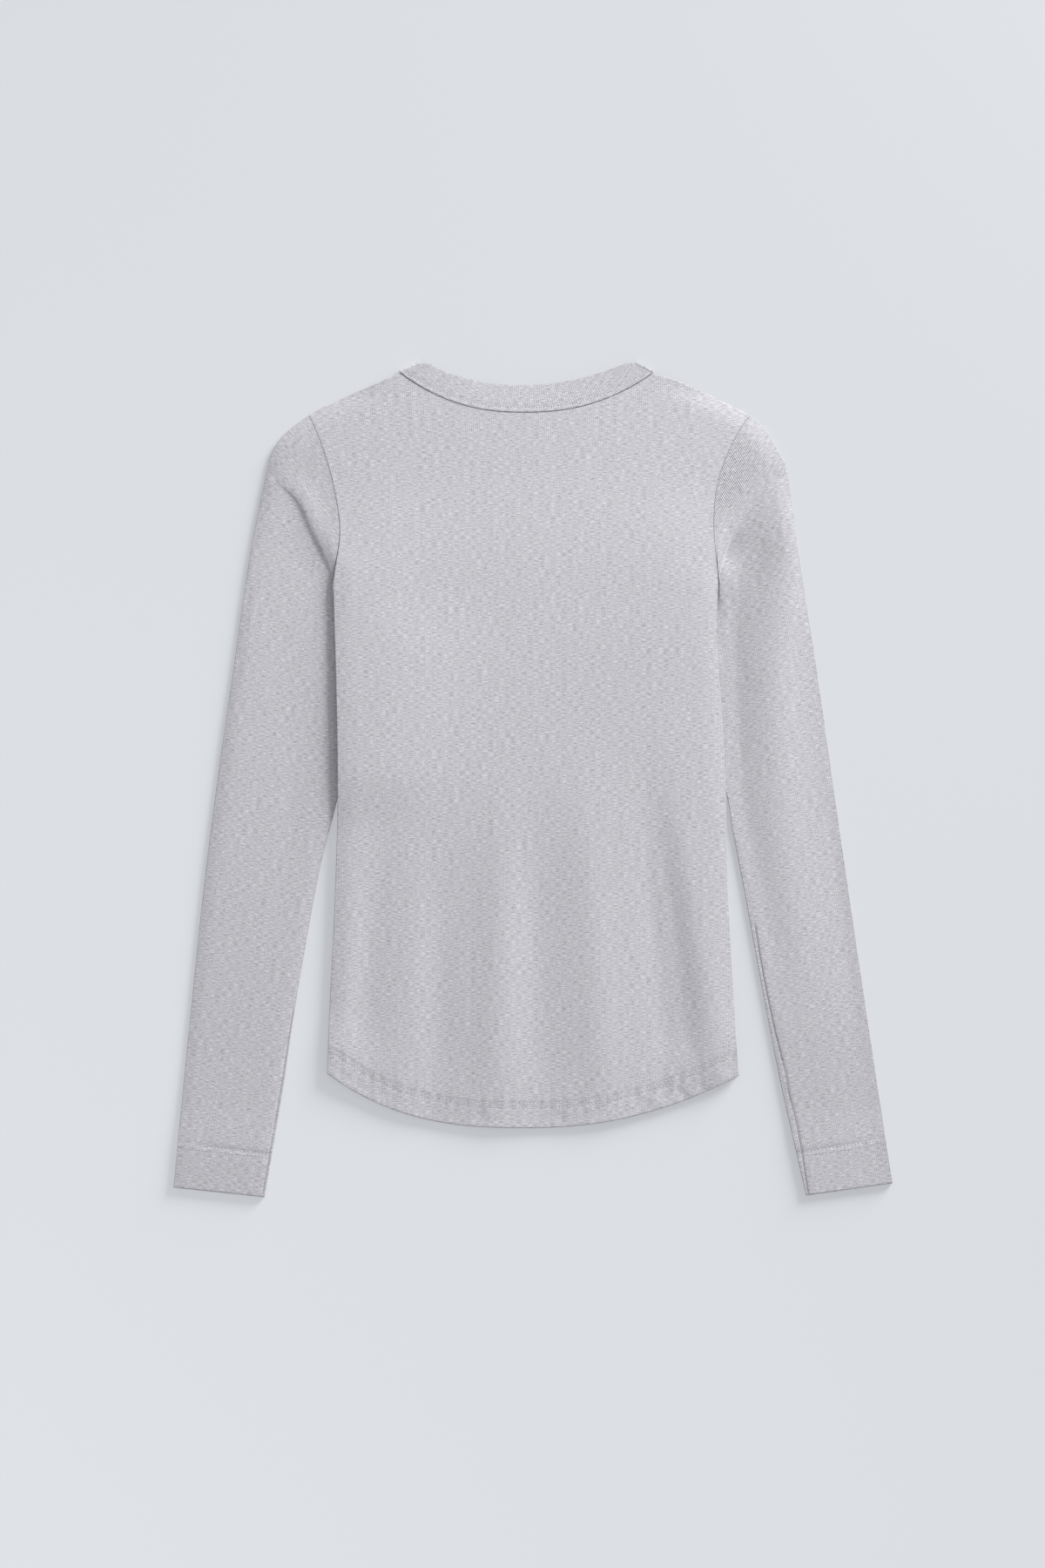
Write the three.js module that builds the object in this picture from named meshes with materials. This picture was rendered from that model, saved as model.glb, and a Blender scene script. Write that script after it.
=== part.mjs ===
// A women's slim long-sleeve crew-neck t-shirt in rib knit, lying flat on its front with its back up.
// Both sleeves are turned down beside the body and partly tucked under it.
// Millimetres. X to the viewer's right, Y towards the neck, Z up from the surface it lies on.
// Each piece is a closed solid of cloth with a real wall, 0.3 mm from the pieces it is sewn to.
import * as THREE from "three";

// ---- driving sizes -------------------------------------------------------------------------------
const SEAM_GAP = 0.3; // clear space between two pieces that are sewn together
const cloth = {
  wall: 1.2, // one ply of rib knit
  turned: 0.8, // what a turned-up edge adds to the wall, pressed flat
  bandWall: 2.5, // the neckband, folded in two
};
const air = {
  body: 1.95, // most air between front and back
  sleeve: 0.6, // air inside a sleeve away from its folds
  hem: 0.6, // most air between front and back at the hem
  cuff: 0.4, // most air inside a cuff
  edgeWidth: 18, // how far in from a fold the body's cloth reaches its full height
  armWidth: 12, // the same from a sleeve's edge
  capOuter: 20, // the same from the outer edge of a sleeve's cap
  capInner: 6, // and from its inner end
};
const hem = { depth: 19, ease: 44 }; // turned-up hem, and how far above it the cloth sinks back
const tuck = {
  lift: 3.3, // the front rises this far over a tucked sleeve
  margin: 9, // and stays up this far past the sleeve's edge
  ramp: 26, // then comes down over this width
  armpitRun: 16, // below the armpit the front rises over this length
  edgeMargin: 5, // a sleeve stays thin this far outside the body's edge
};
const neck = {
  left: { seamX: -112.9, seamY: 344, foldX: -90.8, foldY: 353.4, edgePower: 2.3 },
  right: { seamX: 101.4, seamY: 343.7, foldX: 82.4, foldY: 353.6, edgePower: 2 },
  backSeamX: -8, // lowest point of the back neck seam
  backSeamY: 310.4,
  backEdgeY: 333.6, // lowest point of the band's free edge at the back
  frontSeamY: 236, // lowest point of the front neck seam
  frontEdgeY: 259, // lowest point of the band's free edge at the front
  seamPower: 2.35, // the back seam is y = low + rise * t^seamPower, and so is the free edge
  edgeSag: 1.1, // the free edge sinks this far in the middle of the back
};
const hemCurve = { centreX: -3, lowY: -296.7, leftPower: 2.75, rightPower: 2.15 };

// ---- outlines ------------------------------------------------------------------------------------
// Each table runs along one edge of the flat garment. The left and the right side are measured apart.
const SIDE = {
  left: [
    { at: "hem corner", x: -174.6, y: -250.5 },
    { at: "above the hem", x: -172.4, y: -189.8 },
    { at: "hip", x: -168.7, y: -115.8 },
    { at: "waist", x: -165.8, y: -19.6 },
    { at: "rib", x: -166.7, y: 69.2 },
    { at: "under the armpit", x: -169.2, y: 155 },
    { at: "armpit", x: -168.7, y: 172.8 },
  ],
  right: [
    { at: "hem corner", x: 174.6, y: -252 },
    { at: "above the hem", x: 170.5, y: -189.8 },
    { at: "hip", x: 164.7, y: -78.8 },
    { at: "waist", x: 163.5, y: -4.8 },
    { at: "rib", x: 159.1, y: 69.2 },
    { at: "upper rib", x: 155.6, y: 125 },
    { at: "under the armpit", x: 156.8, y: 157 },
    { at: "armpit", x: 156.6, y: 172.8 },
  ],
};
const ARMHOLE = {
  left: [
    { at: "shoulder tip", x: -190.2, y: 308.2 },
    { at: "cap", x: -180.1, y: 285.3 },
    { at: "blade", x: -169.5, y: 249.8 },
    { at: "narrowest", x: -163.8, y: 210.1 },
    { at: "armpit", x: -168.7, y: 172.8 },
  ],
  right: [
    { at: "shoulder tip", x: 183.5, y: 307.5 },
    { at: "cap", x: 170.9, y: 288.2 },
    { at: "blade", x: 156.9, y: 252.7 },
    { at: "narrowest", x: 153.2, y: 216 },
    { at: "armpit", x: 156.6, y: 172.8 },
  ],
};
const SHOULDER = {
  left: [
    { at: "shoulder tip", x: -190.2, y: 308.2 },
    { at: "outer", x: -176, y: 316 },
    { at: "inner", x: -139, y: 332.6 },
    { at: "neck", x: neck.left.seamX - SEAM_GAP, y: neck.left.seamY - SEAM_GAP / 2 },
  ],
  right: [
    { at: "shoulder tip", x: 183.5, y: 307.5 },
    { at: "outer", x: 171, y: 315 },
    { at: "inner", x: 126, y: 336 },
    { at: "neck", x: neck.right.seamX + SEAM_GAP, y: neck.right.seamY - SEAM_GAP / 2 },
  ],
};
// The fold that the turned-down sleeve makes, from its outer edge to the armpit.
const CREASE = {
  left: [
    { at: "outer edge", x: -226.4, y: 258 },
    { at: "cap", x: -201.3, y: 236.4 },
    { at: "middle", x: -188, y: 210.1 },
    { at: "inner", x: -179.1, y: 192.8 },
    { at: "armpit", x: -169.9, y: 171.4 },
  ],
  right: [
    { at: "outer edge", x: 216.3, y: 257 },
    { at: "cap", x: 200.5, y: 252.7 },
    { at: "middle", x: 184, y: 234 },
    { at: "inner", x: 168.7, y: 208 },
    { at: "armpit", x: 157.8, y: 171.4 },
  ],
};
// The lowest line of the left crease lies a little below that fold. The right one lies along it.
const TROUGH = {
  left: [
    { at: "outer edge", x: -229.5, y: 250 },
    { at: "cap", x: -207.5, y: 231 },
    { at: "middle", x: -194.5, y: 204 },
    { at: "inner", x: -184.5, y: 185 },
    { at: "armpit", x: -171, y: 166 },
  ],
  right: CREASE.right,
};
const SLEEVE_OUTER = {
  left: [
    { at: "shoulder tip", x: -190.55, y: 308.2 },
    { at: "cap", x: -208.7, y: 294.2 },
    { at: "round of the cap", x: -220.5, y: 278.6 },
    { at: "crease", x: -226.4, y: 258.6 },
    { at: "upper arm", x: -240.4, y: 188.3 },
    { at: "above the elbow", x: -255.6, y: 84 },
    { at: "elbow", x: -267.4, y: 2.6 },
    { at: "forearm", x: -278.8, y: -86.2 },
    { at: "lower forearm", x: -289.8, y: -189.8 },
    { at: "wrist", x: -297.2, y: -263.8 },
    { at: "cuff edge", x: -305.2, y: -347.4 },
  ],
  right: [
    { at: "shoulder tip", x: 183.85, y: 307.5 },
    { at: "cap", x: 199.8, y: 292.7 },
    { at: "round of the cap", x: 208.7, y: 277.1 },
    { at: "crease", x: 216.5, y: 256.4 },
    { at: "upper arm", x: 225.4, y: 192.8 },
    { at: "above the elbow", x: 240.5, y: 95.1 },
    { at: "elbow", x: 253.8, y: 2.6 },
    { at: "forearm", x: 266.6, y: -86.2 },
    { at: "lower forearm", x: 281.9, y: -189.8 },
    { at: "wrist", x: 293, y: -263.8 },
    { at: "cuff edge", x: 305.3, y: -343.7 },
  ],
};
// The inner edge runs just outside the body below the armpit, then under it, and comes out again.
const SLEEVE_INNER = {
  left: [
    { at: "armpit", x: -169.05, y: 172.8 },
    { at: "beside the body", x: -169.7, y: 158.5 },
    { at: "going under", x: -160, y: 142 },
    { at: "deepest", x: -143.5, y: 108 },
    { at: "under the rib", x: -147.5, y: 70 },
    { at: "coming out", x: -165.8, y: -16 },
    { at: "clear of the body", x: -174.6, y: -50 },
    { at: "forearm", x: -183.8, y: -90 },
    { at: "lower forearm", x: -201.3, y: -189.8 },
    { at: "wrist", x: -212.4, y: -263.8 },
    { at: "cuff edge", x: -227.9, y: -355.6 },
  ],
  right: [
    { at: "armpit", x: 156.95, y: 172.8 },
    { at: "beside the body", x: 157.4, y: 158.5 },
    { at: "going under", x: 148, y: 142 },
    { at: "deepest", x: 131, y: 108 },
    { at: "under the rib", x: 136, y: 70 },
    { at: "coming out", x: 162.8, y: -8 },
    { at: "clear of the body", x: 169.4, y: -44 },
    { at: "forearm", x: 178, y: -88 },
    { at: "lower forearm", x: 196.8, y: -189.8 },
    { at: "wrist", x: 211.4, y: -263.8 },
    { at: "cuff edge", x: 232, y: -354.1 },
  ],
};
const CREASE_FOOT = 65.7; // the arm starts this far along the outer edge
// One row for each ring of a sleeve. outer and inner are lengths along its two edges. armhole and crease
// say how much of those two curves the ring follows. cuff is 1 where the turned-up cuff doubles the wall.
const RINGS = [
  { at: "armhole", outer: 0, inner: 0, armhole: 1, crease: 0, cuff: 0 },
  { at: "cap", outer: 16, inner: 0.6, armhole: 0.75, crease: 0.25, cuff: 0 },
  { at: "cap", outer: 32, inner: 1.2, armhole: 0.5, crease: 0.5, cuff: 0 },
  { at: "cap", outer: 48, inner: 1.8, armhole: 0.25, crease: 0.75, cuff: 0 },
  { at: "crease edge", outer: 62.5, inner: 2.6, armhole: 0, crease: 1, cuff: 0 },
  { at: "crease foot", outer: CREASE_FOOT, inner: 3.8, armhole: 0, crease: 0.97, cuff: 0 },
  { at: "upper arm", outer: 75, inner: 6.6, armhole: 0, crease: 0.85, cuff: 0 },
  { at: "upper arm", outer: 88, inner: 10.5, armhole: 0, crease: 0.68, cuff: 0 },
  { at: "upper arm", outer: 104, inner: 17, armhole: 0, crease: 0.48, cuff: 0 },
  { at: "upper arm", outer: 124, inner: 27, armhole: 0, crease: 0.3, cuff: 0 },
  { at: "upper arm", outer: 148, inner: 42, armhole: 0, crease: 0.15, cuff: 0 },
  { at: "upper arm", outer: 176, inner: 64, armhole: 0, crease: 0.05, cuff: 0 },
  { at: "above the elbow", outer: 206, inner: 90, armhole: 0, crease: 0, cuff: 0 },
  { at: "above the elbow", outer: 240, inner: 122, armhole: 0, crease: 0, cuff: 0 },
  { at: "elbow", outer: 277, inner: 157, armhole: 0, crease: 0, cuff: 0 },
  { at: "elbow", outer: 317, inner: 194, armhole: 0, crease: 0, cuff: 0 },
  { at: "elbow", outer: 357, inner: 230, armhole: 0, crease: 0, cuff: 0 },
  { at: "forearm", outer: 402, inner: 270, armhole: 0, crease: 0, cuff: 0 },
  { at: "forearm", outer: 452, inner: 317, armhole: 0, crease: 0, cuff: 0 },
  { at: "forearm", outer: 507, inner: 372, armhole: 0, crease: 0, cuff: 0 },
  { at: "forearm", outer: 562, inner: 426, armhole: 0, crease: 0, cuff: 0 },
  { at: "wrist", outer: 606, inner: 470, armhole: 0, crease: 0, cuff: 0 },
  { at: "above the cuff", outer: -37.5, inner: -40, armhole: 0, crease: 0, cuff: 0 },
  { at: "cuff top", outer: -35, inner: -37.5, armhole: 0, crease: 0, cuff: 1 },
  { at: "cuff", outer: -18, inner: -19, armhole: 0, crease: 0, cuff: 1 },
  { at: "cuff edge", outer: 0, inner: 0, armhole: 0, crease: 0, cuff: 1 },
];
// The long soft folds of the lower back, each a ridge or a trough that runs from its top to the hem.
const FOLDS = [
  { kind: "ridge", topX: -155, topY: 20, hemX: -170, height: 0.4, halfWidth: 13 },
  { kind: "trough", topX: -124, topY: 30, hemX: -150, height: -1.0, halfWidth: 15 },
  { kind: "ridge", topX: -92, topY: 0, hemX: -112, height: 0.4, halfWidth: 13 },
  { kind: "trough", topX: -79, topY: -10, hemX: -82, height: -0.7, halfWidth: 14 },
  { kind: "ridge", topX: -22, topY: 40, hemX: -33, height: 1.5, halfWidth: 20 },
  { kind: "trough", topX: -6, topY: 30, hemX: 10, height: -0.8, halfWidth: 17 },
  { kind: "ridge", topX: 38, topY: 60, hemX: 62, height: 1.3, halfWidth: 20 },
  { kind: "trough", topX: 92, topY: 70, hemX: 128, height: -1.85, halfWidth: 21 },
  { kind: "ridge", topX: 104, topY: 60, hemX: 166, height: 0.9, halfWidth: 15 },
];
const FOLD_RUN = 190; // length over which a fold grows to its full height
// The right sleeve's long soft ridge and the trough beside it, from the cap down to the forearm.
const SLEEVE_FOLDS = {
  left: [],
  right: [
    {
      halfWidth: 22,
      line: [
        { x: 209, y: 262, height: 0 },
        { x: 211, y: 224, height: 1.6 },
        { x: 208, y: 150, height: 2.7 },
        { x: 204, y: 99, height: 2.4 },
        { x: 206, y: 40, height: 1.9 },
        { x: 210, y: -20, height: 1.5 },
        { x: 215, y: -79, height: 1.1 },
        { x: 236, y: -230, height: 0 },
      ],
    },
    {
      halfWidth: 12,
      line: [
        { x: 186, y: 250, height: 0 },
        { x: 172, y: 217, height: -0.5 },
        { x: 167, y: 150, height: -1.1 },
        { x: 170, y: 40, height: -0.8 },
        { x: 191, y: -79, height: -0.6 },
        { x: 214, y: -210, height: 0 },
      ],
    },
  ],
};
// How the cloth sinks at each crease, on the cap and on the arm, and how high the cap stands above it.
const CREASE_SHAPE = {
  left: { depth: 0.9, capWidth: 9.5, armWidth: 48, ridge: 1.6 },
  right: { depth: 0.8, capWidth: 17, armWidth: 20, ridge: 0.3 },
};
const RIDGE = { from: 20, halfWidth: 11, outer: 30 }; // the cap's ridge stands this far above the crease
const CREASE_RUN = 90; // below its foot the arm's air shrinks over this length
const CREASE_FADE = [-0.35, 0.4]; // share across the sleeve over which a crease grows to its depth
const SEAM = { reach: 22, sink: 0.12 }; // the cap comes level with the back over this reach

// ---- grids ---------------------------------------------------------------------------------------
const ACROSS_SLEEVE = [0, 0.05, 0.15, 0.3, 0.45, 0.6, 0.75, 0.88, 0.96, 1]; // outer edge to inner edge
const UNDER_SLEEVE = [9, 8, 7, 5, 3, 0]; // which of those the hidden lower ply uses, inner edge first
// Shares of the width, from a side to the neck. The front's neck is deeper and its columns start further out.
const SIDE_COLUMNS = {
  back: [0, 0.015, 0.05, 0.1, 0.16, 0.23],
  front: [0, 0.015, 0.05, 0.1, 0.16, 0.205],
};
const NECK_COLUMNS = 14;
const SIDE_ROWS = [0, 18, 20, 46, 84, 124, 164, 200, 232, 262, 294, 326, 358, 388, 407]; // above the hem
const SIDE_FADE = { back: 6, front: 10 }; // a side's outline bends the columns by share^SIDE_FADE
const ROUNDING = 0.9; // how far an edge of a sleeve is rounded off
// Across the neckband: share of its width from the seam, and share of half its wall.
const BAND_PROFILE = [
  { share: 0, side: -0.8 },
  { share: 0, side: 0.8 },
  { share: 0.12, side: 1 },
  { share: 0.9, side: 1 },
  { share: 1, side: 0.45 },
  { share: 1, side: -0.45 },
  { share: 0.9, side: -1 },
  { share: 0.12, side: -1 },
];
const FOLD_TURNS = [60, 30, 0, -30, -60]; // degrees, from the upper layer of a band fold to the lower

// 0 at low, 1 at high, level at both. low may be the larger of the two.
const smooth = (low, high, t) => {
  const s = THREE.MathUtils.clamp((t - low) / (high - low), 0, 1);
  return s * s * (3 - 2 * s);
};
const mix = THREE.MathUtils.lerp;
const puffed = (distance, width = air.edgeWidth) =>
  1 - Math.pow(1 - THREE.MathUtils.clamp(distance / width, 0, 1), 2);
const curveOf = (table) =>
  new THREE.SplineCurve(table.map((row) => new THREE.Vector2(row.x, row.y)));
const outward = { left: -1, right: 1 };

// The x of an edge at a height y, read between the points of its curve.
function edgeReader(table) {
  const points = curveOf(table).getPoints(120);
  return (y) => {
    const falls = points[0].y > points[points.length - 1].y;
    const ordered = falls ? points : [...points].reverse();
    const next = ordered.findIndex((point) => point.y < y);
    if (next < 0) return ordered[ordered.length - 1].x;
    if (next === 0) return ordered[0].x;
    const [above, below] = [ordered[next - 1], ordered[next]];
    return mix(below.x, above.x, (y - below.y) / (above.y - below.y));
  };
}
const sideX = { left: edgeReader(SIDE.left), right: edgeReader(SIDE.right) };
const innerX = { left: edgeReader(SLEEVE_INNER.left), right: edgeReader(SLEEVE_INNER.right) };

function distanceTo(points, p) {
  let nearest = Infinity;
  const closest = new THREE.Vector3();
  for (let i = 1; i < points.length; i++) {
    const line = new THREE.Line3(
      new THREE.Vector3(points[i - 1].x, points[i - 1].y, 0),
      new THREE.Vector3(points[i].x, points[i].y, 0),
    );
    line.closestPointToPoint(new THREE.Vector3(p.x, p.y, 0), true, closest);
    nearest = Math.min(nearest, Math.hypot(closest.x - p.x, closest.y - p.y));
  }
  return nearest;
}
const foldLines = ["left", "right"].flatMap((side) => [
  curveOf(SIDE[side]).getPoints(24),
  curveOf(SHOULDER[side]).getPoints(12),
]);

// ---- heights -------------------------------------------------------------------------------------
// The front lies on the surface and rises over the two tucked sleeves.
function frontBottom(p) {
  let rise = 0;
  for (const side of ["left", "right"]) {
    const armpitY = ARMHOLE[side].at(-1).y;
    const inside = outward[side] * (p.x - innerX[side](p.y)) + tuck.margin;
    const below = smooth(armpitY, armpitY - tuck.armpitRun, p.y);
    rise = Math.max(rise, smooth(-tuck.ramp, 0, inside) * (p.y < armpitY ? below : 0));
  }
  return tuck.lift * rise;
}

function foldHeight(p) {
  let sum = 0;
  for (const fold of FOLDS) {
    const along = THREE.MathUtils.clamp((fold.topY - p.y) / (fold.topY - hemCurve.lowY), 0, 1);
    const middle = mix(fold.topX, fold.hemX, along);
    const grown = smooth(0, FOLD_RUN, fold.topY - p.y);
    sum += fold.height * grown * Math.exp(-Math.pow((p.x - middle) / fold.halfWidth, 2));
  }
  return sum;
}

// 1 over the front neckband, which the back has to clear, 0 away from it.
function overBand(p) {
  const centreX = (neck.left.seamX + neck.right.seamX) / 2;
  const halfWidth = (neck.right.seamX - neck.left.seamX) / 2;
  const depth = neck.left.seamY - neck.frontSeamY;
  const across = (p.x - centreX) / halfWidth;
  const down = (neck.left.seamY - p.y) / depth;
  return smooth(2.3, 1.05, across * across + down * down);
}

// The height of the back's outer face. hemShare is 1 in the hem, where both plies are doubled.
function backTop(p, hemShare = 0) {
  const fromFold = Math.min(...foldLines.map((line) => distanceTo(line, p)));
  const full = Math.max(puffed(fromFold), overBand(p));
  const lifted = frontBottom(p);
  const room = (1 - 0.6 * (lifted / tuck.lift)) * mix(1, air.hem / air.body, hemShare);
  const folds = foldHeight(p) * puffed(fromFold, 30) * mix(1, 0.6, hemShare);
  const plies = 2 * (cloth.wall + cloth.turned * hemShare) + SEAM_GAP;
  return lifted + plies + Math.max(air.body * full * room + folds, 0);
}

// ---- solids --------------------------------------------------------------------------------------
// A closed geometry from points and quads, with its faces turned outwards.
function solid(points, quads) {
  const triangles = quads.flatMap(([a, b, c, d]) => [
    [a, b, c],
    [a, c, d],
  ]);
  let volume = 0;
  for (const [a, b, c] of triangles) {
    volume += points[a].dot(new THREE.Vector3().crossVectors(points[b], points[c]));
  }
  const index = triangles.flatMap(([a, b, c]) => (volume > 0 ? [a, b, c] : [a, c, b]));
  const geometry = new THREE.BufferGeometry().setFromPoints(points);
  geometry.setIndex(index);
  geometry.computeVertexNormals();
  return geometry;
}

// A sheet of cloth: grid[row][column] holds { x, y, bottom, wall }.
function sheet(grid) {
  const rows = grid.length;
  const columns = grid[0].length;
  const points = [];
  for (const above of [0, 1]) {
    for (const row of grid) {
      for (const p of row) points.push(new THREE.Vector3(p.x, p.y, p.bottom + above * p.wall));
    }
  }
  const at = (layer, row, column) => layer * rows * columns + row * columns + column;
  const quads = [];
  for (let r = 1; r < rows; r++) {
    for (let c = 1; c < columns; c++) {
      quads.push([at(1, r - 1, c - 1), at(1, r - 1, c), at(1, r, c), at(1, r, c - 1)]);
      quads.push([at(0, r - 1, c - 1), at(0, r, c - 1), at(0, r, c), at(0, r - 1, c)]);
    }
  }
  const rim = [];
  for (let c = 0; c < columns - 1; c++) rim.push([0, c]);
  for (let r = 0; r < rows - 1; r++) rim.push([r, columns - 1]);
  for (let c = columns - 1; c > 0; c--) rim.push([rows - 1, c]);
  for (let r = rows - 1; r > 0; r--) rim.push([r, 0]);
  rim.forEach(([r, c], i) => {
    const [nextR, nextC] = rim[(i + 1) % rim.length];
    quads.push([at(0, r, c), at(0, nextR, nextC), at(1, nextR, nextC), at(1, r, c)]);
  });
  return solid(points, quads);
}

// A ring of loops that each have the same number of points. The last loop joins the first.
function lofted(loops) {
  const count = loops[0].length;
  const quads = [];
  for (let i = 0; i < loops.length; i++) {
    const here = i * count;
    const next = ((i + 1) % loops.length) * count;
    for (let k = 0; k < count; k++) {
      const k2 = (k + 1) % count;
      quads.push([here + k, here + k2, next + k2, next + k]);
    }
  }
  return { points: loops.flat(), quads };
}

// ---- body panels ---------------------------------------------------------------------------------
function columnShares(layer) {
  const columns = SIDE_COLUMNS[layer];
  const neckStart = columns.at(-1);
  return [
    ...columns,
    ...Array.from({ length: NECK_COLUMNS - 1 }, (_, i) =>
      mix(neckStart, 1 - neckStart, (i + 1) / NECK_COLUMNS),
    ),
    ...[...columns].reverse().map((share) => 1 - share),
  ];
}

function neckSeamPoint(layer, share) {
  const t = 2 * share - 1; // -1 at the left fold, 1 at the right
  const side = t < 0 ? neck.left : neck.right;
  if (layer === "back") {
    const rise = side.seamY - neck.backSeamY;
    const x = mix(neck.backSeamX, side.seamX, Math.abs(t));
    return new THREE.Vector2(x, neck.backSeamY + rise * Math.pow(Math.abs(t), neck.seamPower));
  }
  const angle = (Math.PI / 2) * t;
  const centreX = (neck.left.seamX + neck.right.seamX) / 2;
  const halfWidth = (neck.right.seamX - neck.left.seamX) / 2;
  const y = mix(side.seamY, neck.frontSeamY, Math.cos(angle));
  return new THREE.Vector2(centreX + halfWidth * Math.sin(angle), y);
}

// A panel's neck edge, a seam gap outside the band's seam.
function panelNeckPoint(layer, share) {
  const step = 0.002;
  const before = neckSeamPoint(layer, Math.max(share - step, 0));
  const after = neckSeamPoint(layer, Math.min(share + step, 1));
  const tangent = after.sub(before).normalize();
  const outside = new THREE.Vector2(tangent.y, -tangent.x);
  return neckSeamPoint(layer, share).addScaledVector(outside, SEAM_GAP);
}

function hemPoint(share) {
  const corner = share < 0.5 ? SIDE.left[0] : SIDE.right[0];
  const t = Math.abs(2 * share - 1);
  const power = share < 0.5 ? hemCurve.leftPower : hemCurve.rightPower;
  const x = mix(hemCurve.centreX, corner.x, t);
  return new THREE.Vector2(x, hemCurve.lowY + (corner.y - hemCurve.lowY) * Math.pow(t, power));
}

function topPoint(layer, share) {
  const neckStart = SIDE_COLUMNS[layer].at(-1);
  if (share <= neckStart) return curveOf(SHOULDER.left).getPointAt(share / neckStart);
  if (share >= 1 - neckStart) return curveOf(SHOULDER.right).getPointAt(Math.min((1 - share) / neckStart, 1));
  return panelNeckPoint(layer, (share - neckStart) / (1 - 2 * neckStart));
}

function sidePoints(side) {
  const edge = curveOf(SIDE[side]);
  const length = edge.getLength();
  const armhole = curveOf(ARMHOLE[side]);
  const below = SIDE_ROWS.map((above) => edge.getPointAt(Math.min(above / length, 1)));
  const beside = [...ACROSS_SLEEVE].reverse().map((share) => armhole.getPointAt(share));
  return [...below, ...beside];
}

// Straight columns from the hem to the top, bent towards each side's outline near that side.
function panel(layer) {
  const left = sidePoints("left");
  const right = sidePoints("right");
  const columns = columnShares(layer);
  const rows = left.length;
  const runs = left.map((p, i) => (i ? p.distanceTo(left[i - 1]) : 0));
  const total = runs.reduce((sum, run) => sum + run, 0);
  let run = 0;
  const grid = left.map((leftPoint, r) => {
    run += runs[r];
    const v = run / total;
    const aboveHem = SIDE_ROWS[r] ?? Infinity;
    const hemShare = smooth(hem.depth + hem.ease, hem.depth, aboveHem);
    const wall = cloth.wall + (aboveHem < hem.depth ? cloth.turned : 0);
    const bulge = [left, right].map((edge) =>
      edge[r].clone().sub(edge[0].clone().lerp(edge[rows - 1], v)),
    );
    return columns.map((u) => {
      const p = hemPoint(u).lerp(topPoint(layer, u), v);
      p.addScaledVector(bulge[0], Math.pow(1 - u, SIDE_FADE[layer]));
      p.addScaledVector(bulge[1], Math.pow(u, SIDE_FADE[layer]));
      const bottom = layer === "back" ? backTop(p, hemShare) - wall : frontBottom(p);
      return { x: p.x, y: p.y, bottom, wall };
    });
  });
  return sheet(grid);
}

// ---- sleeves -------------------------------------------------------------------------------------
// The height that one fold of a sleeve adds at a point.
function sleeveFoldHeight(fold, p) {
  const next = fold.line.findIndex((row) => row.y < p.y);
  if (next <= 0) return 0;
  const [above, below] = [fold.line[next - 1], fold.line[next]];
  const height = mix(below.height, above.height, (p.y - below.y) / (above.y - below.y));
  const off = distanceTo(curveOf(fold.line).getPoints(60), p);
  return height * Math.exp(-Math.pow(off / fold.halfWidth, 2));
}

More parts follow.
